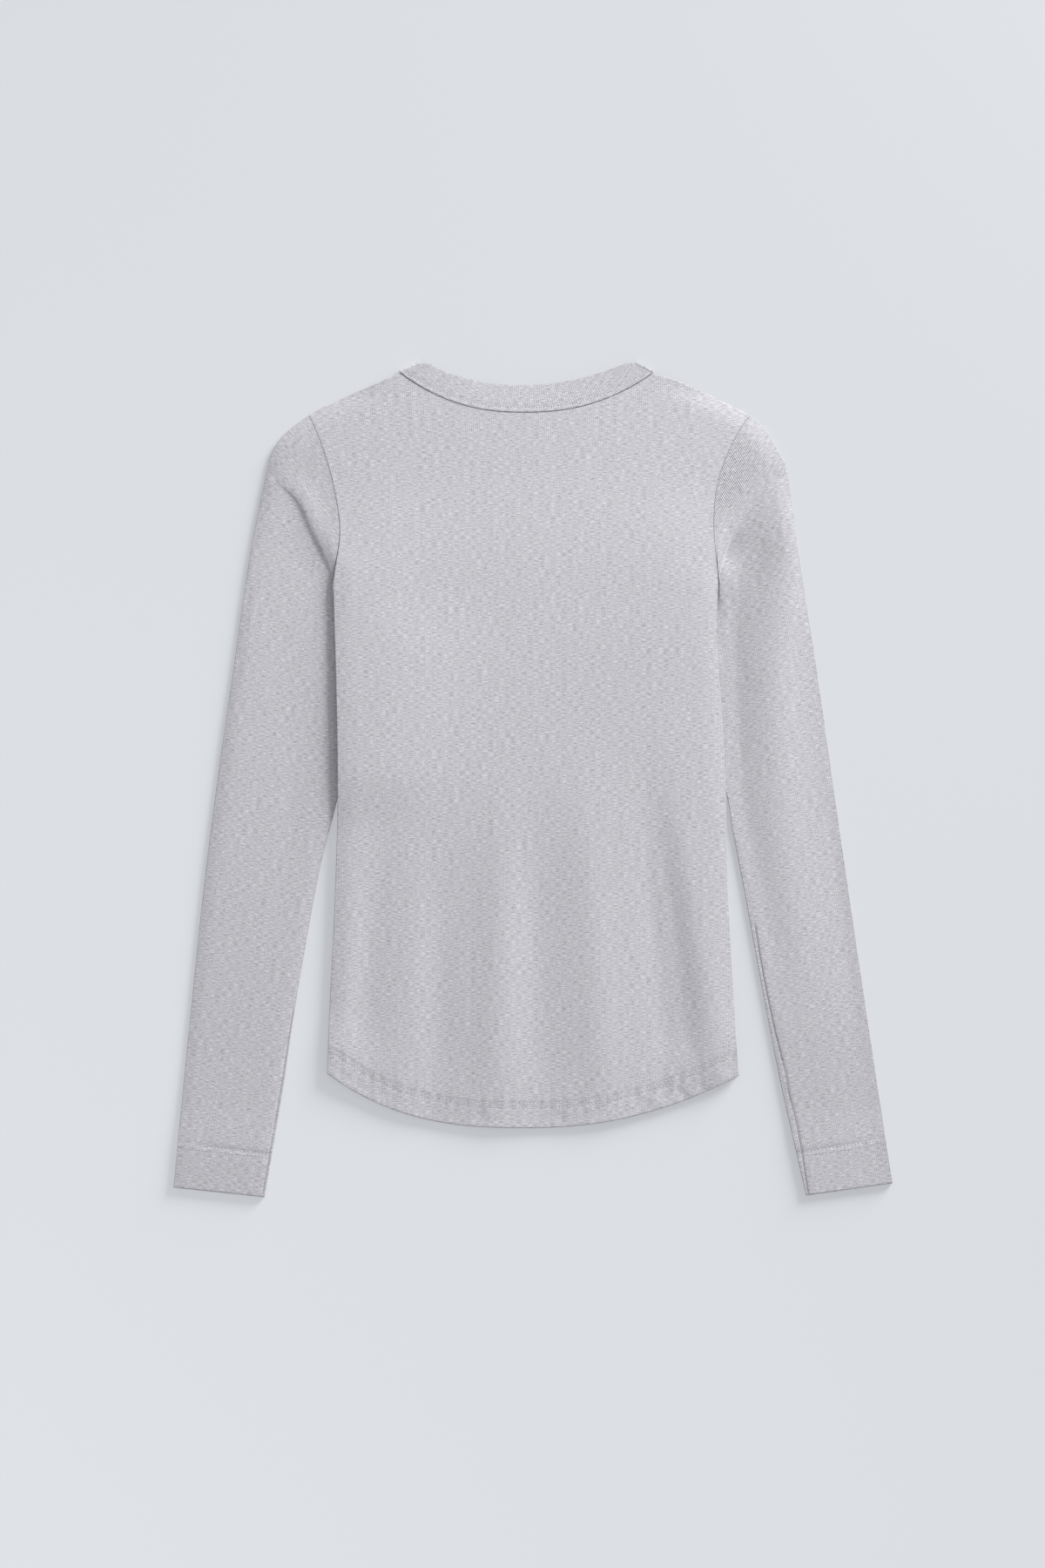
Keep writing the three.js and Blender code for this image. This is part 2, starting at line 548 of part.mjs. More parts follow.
function sleeve(side) {
  const outerEdge = curveOf(SLEEVE_OUTER[side]);
  const innerEdge = curveOf(SLEEVE_INNER[side]);
  const armhole = curveOf(ARMHOLE[side]);
  const crease = curveOf(CREASE[side]);
  const shape = CREASE_SHAPE[side];
  const [trough, creaseLine, seamLine] = [curveOf(TROUGH[side]), crease, armhole].map((curve) =>
    curve.getPoints(40),
  );
  const sign = outward[side];
  const armpitY = ARMHOLE[side].at(-1).y;
  // A negative length is measured back from the cuff's edge.
  const along = (edge, length, isCuff) => {
    const full = edge.getLength();
    const share = (isCuff ? full + length : length) / full;
    return edge.getPointAt(THREE.MathUtils.clamp(share, 0, 1));
  };
  const bow = (curve, share) => {
    const start = curve.getPointAt(0);
    return curve.getPointAt(share).sub(start.lerp(curve.getPointAt(1), share));
  };

  const outerLoops = [];
  const innerLoops = [];
  for (const ring of RINGS) {
    const nearCuff = ring.cuff === 1 || ring.outer < 0;
    const outer = along(outerEdge, ring.outer, nearCuff);
    const inner = along(innerEdge, ring.inner, nearCuff);
    const width = outer.distanceTo(inner);
    const wall = cloth.wall + cloth.turned * ring.cuff;
    const raise = nearCuff ? 1 : ring.at === "wrist" ? 0.3 : 0;
    const edgeTop = 2 * (cloth.wall + cloth.turned * raise) + SEAM_GAP;
    const pointAt = (share, inset) => {
      const safe = THREE.MathUtils.clamp(share, inset / width, 1 - inset / width);
      const p = outer.clone().lerp(inner, safe);
      p.addScaledVector(bow(armhole, safe), ring.armhole);
      return p.addScaledVector(bow(crease, safe), ring.crease);
    };
    const topAt = (share, p) => {
      const fromOuter = share * width;
      let fromInner = (1 - share) * width;
      if (p.y < armpitY && ring.armhole === 0) {
        const beyondBody = sign * (p.x - sideX[side](p.y)) - tuck.edgeMargin;
        fromInner = Math.min(fromInner, Math.max(beyondBody, 0));
      }
      const fromTrough = distanceTo(trough, p);
      const depth = shape.depth * smooth(...CREASE_FADE, share);
      const dip = (halfWidth) => 1 - depth * Math.exp(-Math.pow(fromTrough / halfWidth, 2));
      if (ring.armhole > 0 || ring.at === "crease edge") {
        const rounded = puffed(fromOuter, air.capOuter) * puffed(fromInner, air.capInner);
        const beside = Math.exp(-Math.pow((fromTrough - RIDGE.from) / RIDGE.halfWidth, 2));
        const ridge = shape.ridge * beside * puffed(fromOuter, RIDGE.outer);
        const height = air.body * rounded * dip(shape.capWidth) + ridge;
        const level = backTop(armhole.getPointAt(share)) - edgeTop - SEAM.sink;
        const toSeam = Math.exp(-Math.pow(distanceTo(seamLine, p) / SEAM.reach, 2));
        return edgeTop + mix(height, level, toSeam * smooth(-4, 16, distanceTo(creaseLine, p)));
      }
      const past = nearCuff ? 1 : THREE.MathUtils.clamp((ring.outer - CREASE_FOOT) / CREASE_RUN, 0, 1);
      const full = mix(air.body, air.sleeve, smooth(-0.35, 1, past)) * dip(shape.armWidth);
      const folds = SLEEVE_FOLDS[side].reduce((sum, fold) => sum + sleeveFoldHeight(fold, p), 0);
      const rounded = puffed(fromOuter, air.armWidth) * puffed(fromInner, air.armWidth);
      return edgeTop + Math.max(full * mix(1, air.cuff / air.sleeve, raise) + folds, 0) * rounded;
    };
    const upper = ACROSS_SLEEVE.map((share) => {
      const p = pointAt(share, ROUNDING);
      return { p, inside: pointAt(share, wall + ROUNDING / 2), top: topAt(share, p) };
    });
    const lower = UNDER_SLEEVE.map((k) => {
      const share = ACROSS_SLEEVE[k];
      return { p: pointAt(share, ROUNDING), inside: pointAt(share, wall + ROUNDING / 2) };
    });
    const edgeHeight = edgeTop / 2;
    const vertex = (p, z) => new THREE.Vector3(p.x, p.y, z);
    outerLoops.push([
      ...upper.map(({ p, top }) => vertex(p, top)),
      vertex(pointAt(1, 0), edgeHeight),
      ...lower.map(({ p }) => vertex(p, 0)),
      vertex(pointAt(0, 0), edgeHeight),
    ]);
    innerLoops.push([
      ...upper.map(({ inside, top }) => vertex(inside, top - wall)),
      vertex(pointAt(1, wall), edgeHeight),
      ...lower.map(({ inside }) => vertex(inside, wall)),
      vertex(pointAt(0, wall), edgeHeight),
    ]);
  }
  // Out along the outside, back along the inside: one closed ring of cloth.
  const { points, quads } = lofted([...outerLoops, ...innerLoops.reverse()]);
  return solid(points, quads);
}

// ---- neckband ------------------------------------------------------------------------------------
function neckEdgePoint(layer, share) {
  const t = 2 * share - 1;
  const side = t < 0 ? neck.left : neck.right;
  if (layer === "back") {
    const x = mix(neck.backSeamX, side.foldX, Math.abs(t));
    const rise = side.foldY - neck.backEdgeY;
    return new THREE.Vector2(x, neck.backEdgeY + rise * Math.pow(Math.abs(t), side.edgePower));
  }
  const angle = (Math.PI / 2) * t;
  const centreX = (neck.left.foldX + neck.right.foldX) / 2;
  const halfWidth = (neck.right.foldX - neck.left.foldX) / 2;
  const y = mix(side.foldY, neck.frontEdgeY, Math.cos(angle));
  return new THREE.Vector2(centreX + halfWidth * Math.sin(angle), y);
}

// One ring: along the back neck, over the right fold, along the front neck below it, over the left fold.
function neckband() {
  const half = cloth.bandWall / 2;
  const upperZ = backTop(new THREE.Vector2(neck.left.seamX, neck.left.seamY)) - cloth.wall / 2;
  const radius = (upperZ - half) / 2;
  const up = new THREE.Vector3(0, 0, 1);
  const down = new THREE.Vector3(0, 0, -1);
  const loop = (seam, edge, seamZ, edgeZ, normal) =>
    BAND_PROFILE.map((row) => {
      const p = new THREE.Vector3(seam.x, seam.y, seamZ);
      p.lerp(new THREE.Vector3(edge.x, edge.y, edgeZ), row.share);
      return p.addScaledVector(normal, row.side * half);
    });
  const arc = (layer, share) => {
    const seam = neckSeamPoint(layer, share);
    const edge = neckEdgePoint(layer, share);
    if (layer === "front") return loop(seam, edge, half, half, down);
    return loop(seam, edge, upperZ, upperZ - neck.edgeSag * Math.sin(Math.PI * share), up);
  };
  const fold = (side, degrees) => {
    const along = new THREE.Vector2(side.foldX - side.seamX, side.foldY - side.seamY).normalize();
    const away = new THREE.Vector3(-along.y, along.x, 0).multiplyScalar(Math.sign(along.x));
    const angle = THREE.MathUtils.degToRad(degrees);
    const normal = away.clone().multiplyScalar(Math.cos(angle)).addScaledVector(up, Math.sin(angle));
    const shift = away.clone().multiplyScalar(radius * Math.cos(angle));
    const seam = new THREE.Vector2(side.seamX + shift.x, side.seamY + shift.y);
    const edge = new THREE.Vector2(side.foldX + shift.x, side.foldY + shift.y);
    const z = half + radius + radius * Math.sin(angle);
    return loop(seam, edge, z, z, normal);
  };
  const shares = Array.from({ length: NECK_COLUMNS + 1 }, (_, i) => i / NECK_COLUMNS);
  const loops = [
    ...shares.map((share) => arc("back", share)),
    ...FOLD_TURNS.map((degrees) => fold(neck.right, degrees)),
    ...[...shares].reverse().map((share) => arc("front", share)),
    ...[...FOLD_TURNS].reverse().map((degrees) => fold(neck.left, degrees)),
  ];
  const { points, quads } = lofted(loops);
  return solid(points, quads);
}

// ---- the shirt -----------------------------------------------------------------------------------
const KNIT = { roughness: 0.9, metalness: 0 };
const pieces = [
  { name: "front_panel", geometry: panel("front"), color: 0xb4b3ba },
  { name: "back_panel", geometry: panel("back"), color: 0xbcbac1 },
  { name: "sleeve_left", geometry: sleeve("left"), color: 0xb6b5bc },
  { name: "sleeve_right", geometry: sleeve("right"), color: 0xb9b8bf },
  { name: "neckband", geometry: neckband(), color: 0xc0bec5 },
];
const shirt = new THREE.Group();
for (const { name, geometry, color } of pieces) {
  const mesh = new THREE.Mesh(geometry, new THREE.MeshStandardMaterial({ color, ...KNIT }));
  mesh.name = name;
  shirt.add(mesh);
}

export default shirt;
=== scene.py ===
# A women's slim long-sleeve crew-neck tee in fine rib knit, laid flat on its front with its back up.
# Lengths are in millimetres up to the point where a mesh is made, and in metres from there on.
from math import cos, pi, radians, sin

import bpy
import numpy as np
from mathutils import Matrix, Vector


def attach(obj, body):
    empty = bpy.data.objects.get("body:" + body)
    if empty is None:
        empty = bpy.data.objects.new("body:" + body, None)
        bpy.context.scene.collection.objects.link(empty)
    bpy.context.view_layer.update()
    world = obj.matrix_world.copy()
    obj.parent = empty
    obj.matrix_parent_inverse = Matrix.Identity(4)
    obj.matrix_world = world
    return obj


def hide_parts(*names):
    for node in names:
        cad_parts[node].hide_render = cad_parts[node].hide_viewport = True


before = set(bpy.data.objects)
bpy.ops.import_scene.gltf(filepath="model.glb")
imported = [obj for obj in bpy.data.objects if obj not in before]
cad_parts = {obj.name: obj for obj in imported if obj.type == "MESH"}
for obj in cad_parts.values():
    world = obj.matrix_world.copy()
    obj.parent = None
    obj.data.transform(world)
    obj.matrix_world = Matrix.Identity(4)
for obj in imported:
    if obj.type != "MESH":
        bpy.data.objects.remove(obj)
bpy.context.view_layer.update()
print("frame loaded")

# camera, floor, light
studio = {
    "aimX": -0.0089, "aimY": -0.0048,  # what the camera looks straight down at
    "height": 3.145, "lens": 85, "farthest": 50,
    "floorSize": 9.0, "floorColour": (0.45, 0.46, 0.478), "floorRoughness": 0.95, "floorGloss": 0.1,
    "glowColour": (0.375, 0.383, 0.398), "floorGlow": 0.85,
    "floorFade": 0.43,  # the floor glows this much more, per metre away from the key light
    "keyTurn": 48, "keyRise": 16, "keyAway": 4.3, "keySize": 2.1, "keyPower": 316,  # turned from +X, degrees
    "skyColour": (0.95, 0.97, 1.0), "skyPower": 0.44,
}


def lookFrom(obj, place, target):
    obj.location = place
    obj.rotation_mode = "QUATERNION"
    obj.rotation_quaternion = (Vector(target) - Vector(place)).to_track_quat("-Z", "Y")


def makeStudio(s):
    camera = bpy.data.objects.new("camera", bpy.data.cameras.new("camera"))
    camera.data.lens = s["lens"]
    camera.location = (s["aimX"], s["aimY"], s["height"])
    camera.data.clip_end = s["farthest"]
    bpy.context.scene.collection.objects.link(camera)
    bpy.context.scene.camera = camera

    half = s["floorSize"] / 2
    mesh = bpy.data.meshes.new("floor")
    corners = [(-half, -half, 0), (half, -half, 0), (half, half, 0), (-half, half, 0)]
    mesh.from_pydata(corners, [], [(0, 1, 2, 3)])
    floor = bpy.data.objects.new("floor", mesh)
    bpy.context.scene.collection.objects.link(floor)
    material = bpy.data.materials.new("floorPaper")
    material.use_nodes = True
    shader = material.node_tree.nodes["Principled BSDF"]
    shader.inputs["Base Color"].default_value = (*s["floorColour"], 1)
    shader.inputs["Roughness"].default_value = s["floorRoughness"]
    shader.inputs["Specular IOR Level"].default_value = s["floorGloss"]
    turn, rise = radians(s["keyTurn"]), radians(s["keyRise"])
    tree = material.node_tree
    place, glow = tree.nodes.new("ShaderNodeTexCoord"), tree.nodes.new("ShaderNodeVectorMath")
    glow.operation = "DOT_PRODUCT"
    tree.links.new(place.outputs["Object"], glow.inputs[0])
    glow.inputs[1].default_value = (-cos(turn), -sin(turn), 0)
    fade = tree.nodes.new("ShaderNodeMath")
    fade.operation = "MULTIPLY_ADD"
    tree.links.new(glow.outputs["Value"], fade.inputs[0])
    fade.inputs[1].default_value, fade.inputs[2].default_value = s["floorFade"], 1
    colour = tree.nodes.new("ShaderNodeVectorMath")
    colour.operation = "SCALE"
    colour.inputs[0].default_value = s["glowColour"]
    tree.links.new(fade.outputs[0], colour.inputs["Scale"])
    tree.links.new(colour.outputs[0], shader.inputs["Emission Color"])
    shader.inputs["Emission Strength"].default_value = s["floorGlow"]
    mesh.materials.append(material)

    towards = Vector((cos(rise) * cos(turn), cos(rise) * sin(turn), sin(rise)))
    key = bpy.data.objects.new("keyLight", bpy.data.lights.new("keyLight", "AREA"))
    key.data.energy = s["keyPower"]
    key.data.shape = "DISK"
    key.data.size = s["keySize"]
    lookFrom(key, towards * s["keyAway"], (0, 0, 0))
    bpy.context.scene.collection.objects.link(key)

    world = bpy.data.worlds.new("softRoom")
    world.use_nodes = True
    world.node_tree.nodes["Background"].inputs["Color"].default_value = (*s["skyColour"], 1)
    world.node_tree.nodes["Background"].inputs["Strength"].default_value = s["skyPower"]
    bpy.context.scene.world = world
    bpy.context.scene.view_settings.view_transform = "Standard"


makeStudio(studio)
print("studio made")

# sizes shared by all pieces, as the cut pieces have them
cloth = {"wall": 1.2, "turned": 0.8, "gap": 0.3, "clear": 0.05, "thinnest": 0.08}
air = {  # between the plies, and how far in from an edge it is full
    "body": 1.95, "cap": 1.95, "sleeve": 0.6, "hem": 0.6, "cuff": 0.4, "edgeWidth": 18,
    "overSleeve": 0.6,  # how much less of it there is over a tucked sleeve
    "bandZone": (2.3, 1.05),  # squared radius, in half widths of the neck, where the band lifts the back
    "outerEdge": 12, "innerEdge": 12, "capOuterEdge": 20, "capInnerEdge": 6,
}
hem = {"depth": 19, "ease": 44, "centreX": -3, "lowY": -296.7, "leftPower": 2.75, "rightPower": 2.15}
tuck = {  # how the body lies over the upper parts of the two sleeves
    "lift": 3.3, "margin": 9, "ramp": 26, "armpitRun": 16, "highestY": 158,
    "edgeMargin": 5, "marginZone": (15, 60), "backRamp": 122, "backTopY": 255,
    # between the two sleeves the back keeps this share of the lift
    "pocket": 0.6, "pocketLow": (-130, 0), "pocketHigh": (275, 172), "pocketEdge": 45,
    "bodyLift": {"left": 2.5, "right": 0.9}, "liftRise": {"left": (-50, 10), "right": (50, 150)},
    "liftFall": {"left": (40, 165), "right": (300, 400)}, "fallShare": 0.45,
}
neck = {  # where the band folds over at each side, and its middle on each panel
    "left": {"seamX": -112.9, "seamY": 344, "seamPower": 2.35,
             "edgeX": -90.8, "edgeY": 353.4, "edgePower": 2.3},
    "right": {"seamX": 101.4, "seamY": 343.7, "seamPower": 2.35,
              "edgeX": 82.4, "edgeY": 353.6, "edgePower": 2},
    "back": {"seamY": 310.4, "edgeY": 333.6}, "front": {"seamY": 236, "edgeY": 259},
    "backX": -8, "edgeSag": 1.1, "wall": 2.5,
}
outward = {"left": -1, "right": 1}
sideEdge = {
    "left": {"x": [-174.6, -172.4, -168.7, -165.8, -166.7, -169.2, -168.7],
             "y": [-250.5, -189.8, -115.8, -19.6, 69.2, 155, 172.8]},
    "right": {"x": [174.6, 170.5, 164.7, 163.5, 159.1, 155.6, 156.8, 156.6],
              "y": [-252, -189.8, -78.8, -4.8, 69.2, 125, 157, 172.8]},
}
armhole = {
    "left": {"x": [-190.2, -180.1, -169.5, -163.8, -168.7], "y": [308.2, 285.3, 249.8, 210.1, 172.8]},
    "right": {"x": [183.5, 170.9, 156.9, 153.2, 156.6], "y": [307.5, 288.2, 252.7, 216, 172.8]},
}
shoulder = {
    "left": {"x": [-190.2, -176, -139, -113.2], "y": [308.2, 316, 332.6, 343.85]},
    "right": {"x": [183.5, 171, 126, 101.7], "y": [307.5, 315, 336, 343.55]},
}
crease = {
    "left": {"x": [-226.4, -201.3, -188, -179.1, -169.9], "y": [258, 236.4, 210.1, 192.8, 171.4]},
    "right": {"x": [216.3, 200.5, 184, 168.7, 157.8], "y": [257, 252.7, 234, 208, 171.4]},
}
sleeveOuter = {
    "left": {"x": [-190.55, -208.7, -220.5, -226.4, -240.4, -255.6, -267.4, -278.8, -289.8, -297.2, -305.2],
             "y": [308.2, 294.2, 278.6, 258.6, 188.3, 84, 2.6, -86.2, -189.8, -263.8, -347.4]},
    "right": {"x": [183.85, 199.8, 208.7, 216.5, 225.4, 240.5, 253.8, 266.6, 281.9, 293, 305.3],
              "y": [307.5, 292.7, 277.1, 256.4, 192.8, 95.1, 2.6, -86.2, -189.8, -263.8, -343.7]},
}
sleeveInner = {
    "left": {"x": [-169.05, -169.7, -160, -143.5, -147.5, -165.8, -174.6, -183.8, -201.3, -212.4, -227.9],
             "y": [172.8, 158.5, 142, 108, 70, -16, -50, -90, -189.8, -263.8, -355.6]},
    "right": {"x": [156.95, 157.2, 148, 131, 136, 162.8, 169.4, 178, 196.8, 211.4, 232],
              "y": [172.8, 158.5, 142, 108, 70, -8, -44, -88, -189.8, -263.8, -354.1]},
}


def smooth(low, high, t):  # 0 at low, 1 at high, level at both; low may be the larger
    s = np.clip((t - low) / (high - low), 0, 1)
    return s * s * (3 - 2 * s)


def puffed(distance, width=air["edgeWidth"]):  # rises from 0 at an edge to 1 at width, as 1 - (1 - d/w)^2
    return 1 - (1 - np.clip(distance / width, 0, 1)) ** 2


def rolled(distance, width):  # 1 at an edge and 0 at this width inside it, round as a quarter ellipse
    return 1 - np.sqrt(np.clip(1 - (1 - np.clip(distance / width, 0, 1)) ** 2, 0, 1))


def curveThrough(table, steps=20):  # a smooth curve through the table's points, with its running length
    p = np.column_stack((table["x"], table["y"])).astype(float)
    q = np.vstack((p[:1], p, p[-1:]))
    a, b, c, d = (part[:, None] for part in (q[:-3], q[1:-2], q[2:-1], q[3:]))
    t = np.arange(steps)[None, :, None] / steps
    start, finish = (c - a) / 2, (d - b) / 2
    xy = (2 * b - 2 * c + start + finish) * t ** 3
    xy = xy + (3 * c - 3 * b - 2 * start - finish) * t ** 2 + start * t + b
    xy = np.vstack((xy.reshape(-1, 2), p[-1:]))
    return xy, np.append(0, np.cumsum(np.hypot(*np.diff(xy, axis=0).T)))


def along(curve, share):  # the point at a share of the curve's length
    xy, run = curve
    s = np.clip(share, 0, 1) * run[-1]
    return np.stack((np.interp(s, run, xy[:, 0]), np.interp(s, run, xy[:, 1])), -1)


def distanceTo(curves, x, y):  # from each point to the nearest of the curves
    best = np.full(np.shape(x), 1e6)
    for xy, run in curves:
        for (ax, ay), (bx, by) in zip(xy[:-1], xy[1:]):
            ex, ey = bx - ax, by - ay
            t = np.clip(((x - ax) * ex + (y - ay) * ey) / (ex * ex + ey * ey), 0, 1)
            best = np.minimum(best, np.hypot(x - ax - t * ex, y - ay - t * ey))
    return best


def bow(curve, share):  # how far the curve leaves the straight line between its ends
    first, last = along(curve, 0.0), along(curve, 1.0)
    return along(curve, share) - first - (last - first) * np.asarray(share)[..., None]


def creased(table, x, y):
    # Sum of soft ridges and troughs. Each is height * exp(-(off/width)^2) about a line from (x0, y0)
    # to (x1, y1) bowed sideways in its middle, and fades out at both ends.
    total = np.zeros(np.shape(x))
    for x0, y0, x1, y1, bend, height, width in zip(*(table[k] for k in
                                                     ("x0", "y0", "x1", "y1", "bend", "height", "width"))):
        ex, ey = x1 - x0, y1 - y0
        t = ((x - x0) * ex + (y - y0) * ey) / (ex * ex + ey * ey)
        off = ((x - x0) * ey - (y - y0) * ex) / np.hypot(ex, ey) - bend * np.sin(pi * np.clip(t, 0, 1))
        total += height * np.exp(-(off / width) ** 2) * smooth(-0.2, 0.25, t) * smooth(1.2, 0.75, t)
    return total


sideCurve = {s: curveThrough(sideEdge[s]) for s in outward}
armholeCurve = {s: curveThrough(armhole[s]) for s in outward}
shoulderCurve = {s: curveThrough(shoulder[s]) for s in outward}
creaseCurve = {s: curveThrough(crease[s]) for s in outward}
outerCurve = {s: curveThrough(sleeveOuter[s]) for s in outward}
innerCurve = {s: curveThrough(sleeveInner[s]) for s in outward}
foldCurves = [*sideCurve.values(), *shoulderCurve.values()]


def edgeX(curve, y):  # the x of an edge that runs up or down, at a height y
    xy = curve[0][np.argsort(curve[0][:, 1])]
    return np.interp(y, xy[:, 1], xy[:, 0])


# mesh and material helpers
def makePiece(name, points, faces, uv, edge, material, node=None, ribs=1.0):
    # points in millimetres, faces as an array of quads, uv per corner in metres, edge the painted shade on
    # turned edges (1 darkest), ribs how open the rib knit is pulled, which also deepens the painted shade in
    # its valleys
    mesh = bpy.data.meshes.new(name)
    mesh.vertices.add(len(points))
    mesh.vertices.foreach_set("co", (np.asarray(points, dtype=np.float32) / 1000).ravel())
    mesh.loops.add(faces.size)
    mesh.loops.foreach_set("vertex_index", faces.astype(np.int32).ravel())
    mesh.polygons.add(len(faces))
    mesh.polygons.foreach_set("loop_start", np.arange(len(faces), dtype=np.int32) * faces.shape[1])
    mesh.polygons.foreach_set("use_smooth", np.ones(len(faces), dtype=bool))
    mesh.update(calc_edges=True)
    layer = mesh.uv_layers.new(name="knit")
    layer.data.foreach_set("uv", (np.asarray(uv, dtype=np.float32)).ravel())
    for label, values in (("edge", edge), ("ribs", ribs)):
        values = np.ones(len(points), dtype=np.float32) * np.asarray(values, dtype=np.float32).ravel()
        mesh.attributes.new(label, "FLOAT", "POINT").data.foreach_set("value", values)
    mesh.materials.append(material)
    mesh.validate()
    piece = bpy.data.objects.new(name, mesh)
    bpy.context.scene.collection.objects.link(piece)
    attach(piece, "root")
    if node:
        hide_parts(node)
    print("made", name, len(faces), "faces")
    return piece


def gridFaces(rows, columns, closed=False, flip=False):  # quads of a grid, its columns closed round if asked
    r, c = np.meshgrid(np.arange(rows - 1), np.arange(columns if closed else columns - 1), indexing="ij")
    here, after, next = r * columns, (r + 1) * columns, (c + 1) % columns
    quads = np.stack((here + c, here + next, after + next, after + c), -1).reshape(-1, 4)
    return quads[:, ::-1] if flip else quads


def sheetFaces(rows, columns):  # a top grid, a bottom grid and the rim between them
    n = rows * columns
    top, bottom = gridFaces(rows, columns), gridFaces(rows, columns, flip=True) + n
    i = np.arange(n).reshape(rows, columns)
    rim = np.concatenate((i[0, :-1], i[:-1, -1], i[-1, :0:-1], i[:0:-1, 0]))
    next = np.roll(rim, -1)
    side = np.stack((rim, rim + n, next + n, next), -1)
    return np.vstack((top, bottom, side))


def loopFaces(rows, columns):  # quads of a grid closed both ways
    first = np.arange(columns)
    last, next = (rows - 1) * columns, (first + 1) % columns
    close = np.stack((last + first, last + next, next, first), -1)
    return np.vstack((gridFaces(rows, columns, closed=True), close))


def socketGroup(name, inputs, outputs):  # a group that takes a place on the cloth and these numbers
    tree = bpy.data.node_groups.new(name, "ShaderNodeTree")
    tree.interface.new_socket(name="Vector", in_out="INPUT", socket_type="NodeSocketVector")
    for label, value in inputs.items():
        socket = tree.interface.new_socket(name=label, in_out="INPUT", socket_type="NodeSocketFloat")
        socket.default_value = value
    for label in outputs:
        tree.interface.new_socket(name=label, in_out="OUTPUT", socket_type="NodeSocketFloat")
    start, finish = tree.nodes.new("NodeGroupInput"), tree.nodes.new("NodeGroupOutput")
    return tree, start.outputs, finish.inputs


def wire(tree, socket, value):  # links a socket to another one, or sets its number
    if isinstance(value, bpy.types.NodeSocket):
        tree.links.new(value, socket)
    elif value is not None:
        socket.default_value = value


def maths(tree, operation, a, b=None, c=None, clamp=False):
    node = tree.nodes.new("ShaderNodeMath")
    node.operation, node.use_clamp = operation, clamp
    for socket, value in zip(node.inputs, (a, b, c)):
        wire(tree, socket, value)
    return node.outputs[0]


def combine(tree, x, y, z=0.0):
    node = tree.nodes.new("ShaderNodeCombineXYZ")
    for socket, value in zip(node.inputs, (x, y, z)):
        wire(tree, socket, value)
    return node.outputs[0]


def noise(tree, vector, scale, detail=2.0, rough=0.5):
    node = tree.nodes.new("ShaderNodeTexNoise")
    wire(tree, node.inputs["Vector"], vector)
    node.inputs["Scale"].default_value = scale
    node.inputs["Detail"].default_value = detail
    node.inputs["Roughness"].default_value = rough
    return node.outputs["Fac"]


def remap(tree, value, low, high, toLow, toHigh):
    node = tree.nodes.new("ShaderNodeMapRange")
    for socket, number in zip(node.inputs, (value, low, high, toLow, toHigh)):
        wire(tree, socket, number)
    return node.outputs[0]


def blendColour(tree, kind, factor, a, b):
    node = tree.nodes.new("ShaderNodeMix")
    node.data_type, node.blend_type = "RGBA", kind
    wire(tree, node.inputs[0], factor)
    for socket, value in ((node.inputs[6], a), (node.inputs[7], b)):
        wire(tree, socket, (*value, 1) if isinstance(value, tuple) else value)
    return node.outputs[2]


ribShape = {"wanderScale": 90, "wander": 0.0011, "loop": 0.16, "paintedLoopHighlight": 0.05, "valleyPower": 1.6,
            "fuzzScale": 1500, "fuzz": 0.7}
fleckShape = {"waveScale": 260, "wave": 0.0012, "rough": 0.62, "dotScale": 2.3, "dot": 0.3,
              "cloudScale": 55, "cloud": 0.03, "middle": 0.658, "tintScale": 0.31}


def makeRibGroup():
    # Rib: cosine of across/Pitch, its line wandering a little. Loops: a small V at each course. Shade is
    # painted: painted shade in the rib valleys, deeper where Opened is larger, and a painted highlight along
    # each loop.
    r = ribShape
    tree, give, take = socketGroup(
        "ribKnit", {"Pitch": 0.0016, "Course": 0.0007, "Valley": 0.1, "Opened": 1.0}, ["Height", "Shade"])
    parts = tree.nodes.new("ShaderNodeSeparateXYZ")
    tree.links.new(give["Vector"], parts.inputs[0])
    across, up = parts.outputs[0], parts.outputs[1]
    wander = maths(tree, "SUBTRACT", noise(tree, give["Vector"], r["wanderScale"], 3), 0.5)
    wander = maths(tree, "MULTIPLY", wander, r["wander"])
    phase = maths(tree, "DIVIDE", maths(tree, "ADD", across, wander), give["Pitch"])
    wave = maths(tree, "COSINE", maths(tree, "MULTIPLY", phase, 2 * pi))
    rib = maths(tree, "MULTIPLY_ADD", wave, 0.5, 0.5)
    slant = maths(tree, "PINGPONG", phase, 0.5)
    course = maths(tree, "ADD", maths(tree, "DIVIDE", up, give["Course"]), slant)
    loop = maths(tree, "MULTIPLY_ADD", maths(tree, "SINE", maths(tree, "MULTIPLY", course, 2 * pi)), 0.5, 0.5)
    height = maths(tree, "MULTIPLY_ADD", loop, r["loop"], maths(tree, "MULTIPLY", rib, 1 - r["loop"]))
    height = maths(tree, "MULTIPLY", height, give["Opened"])
    fuzz = noise(tree, give["Vector"], r["fuzzScale"], 2)
    tree.links.new(maths(tree, "MULTIPLY_ADD", fuzz, r["fuzz"], height), take["Height"])
    deep = maths(tree, "POWER", maths(tree, "SUBTRACT", 1.0, rib), r["valleyPower"])
    deep = maths(tree, "MULTIPLY", deep, give["Opened"])
    shade = maths(tree, "SUBTRACT", 1.0, maths(tree, "MULTIPLY", deep, give["Valley"]))
    tree.links.new(maths(tree, "MULTIPLY_ADD", loop, r["paintedLoopHighlight"], shade), take["Shade"])
    return tree


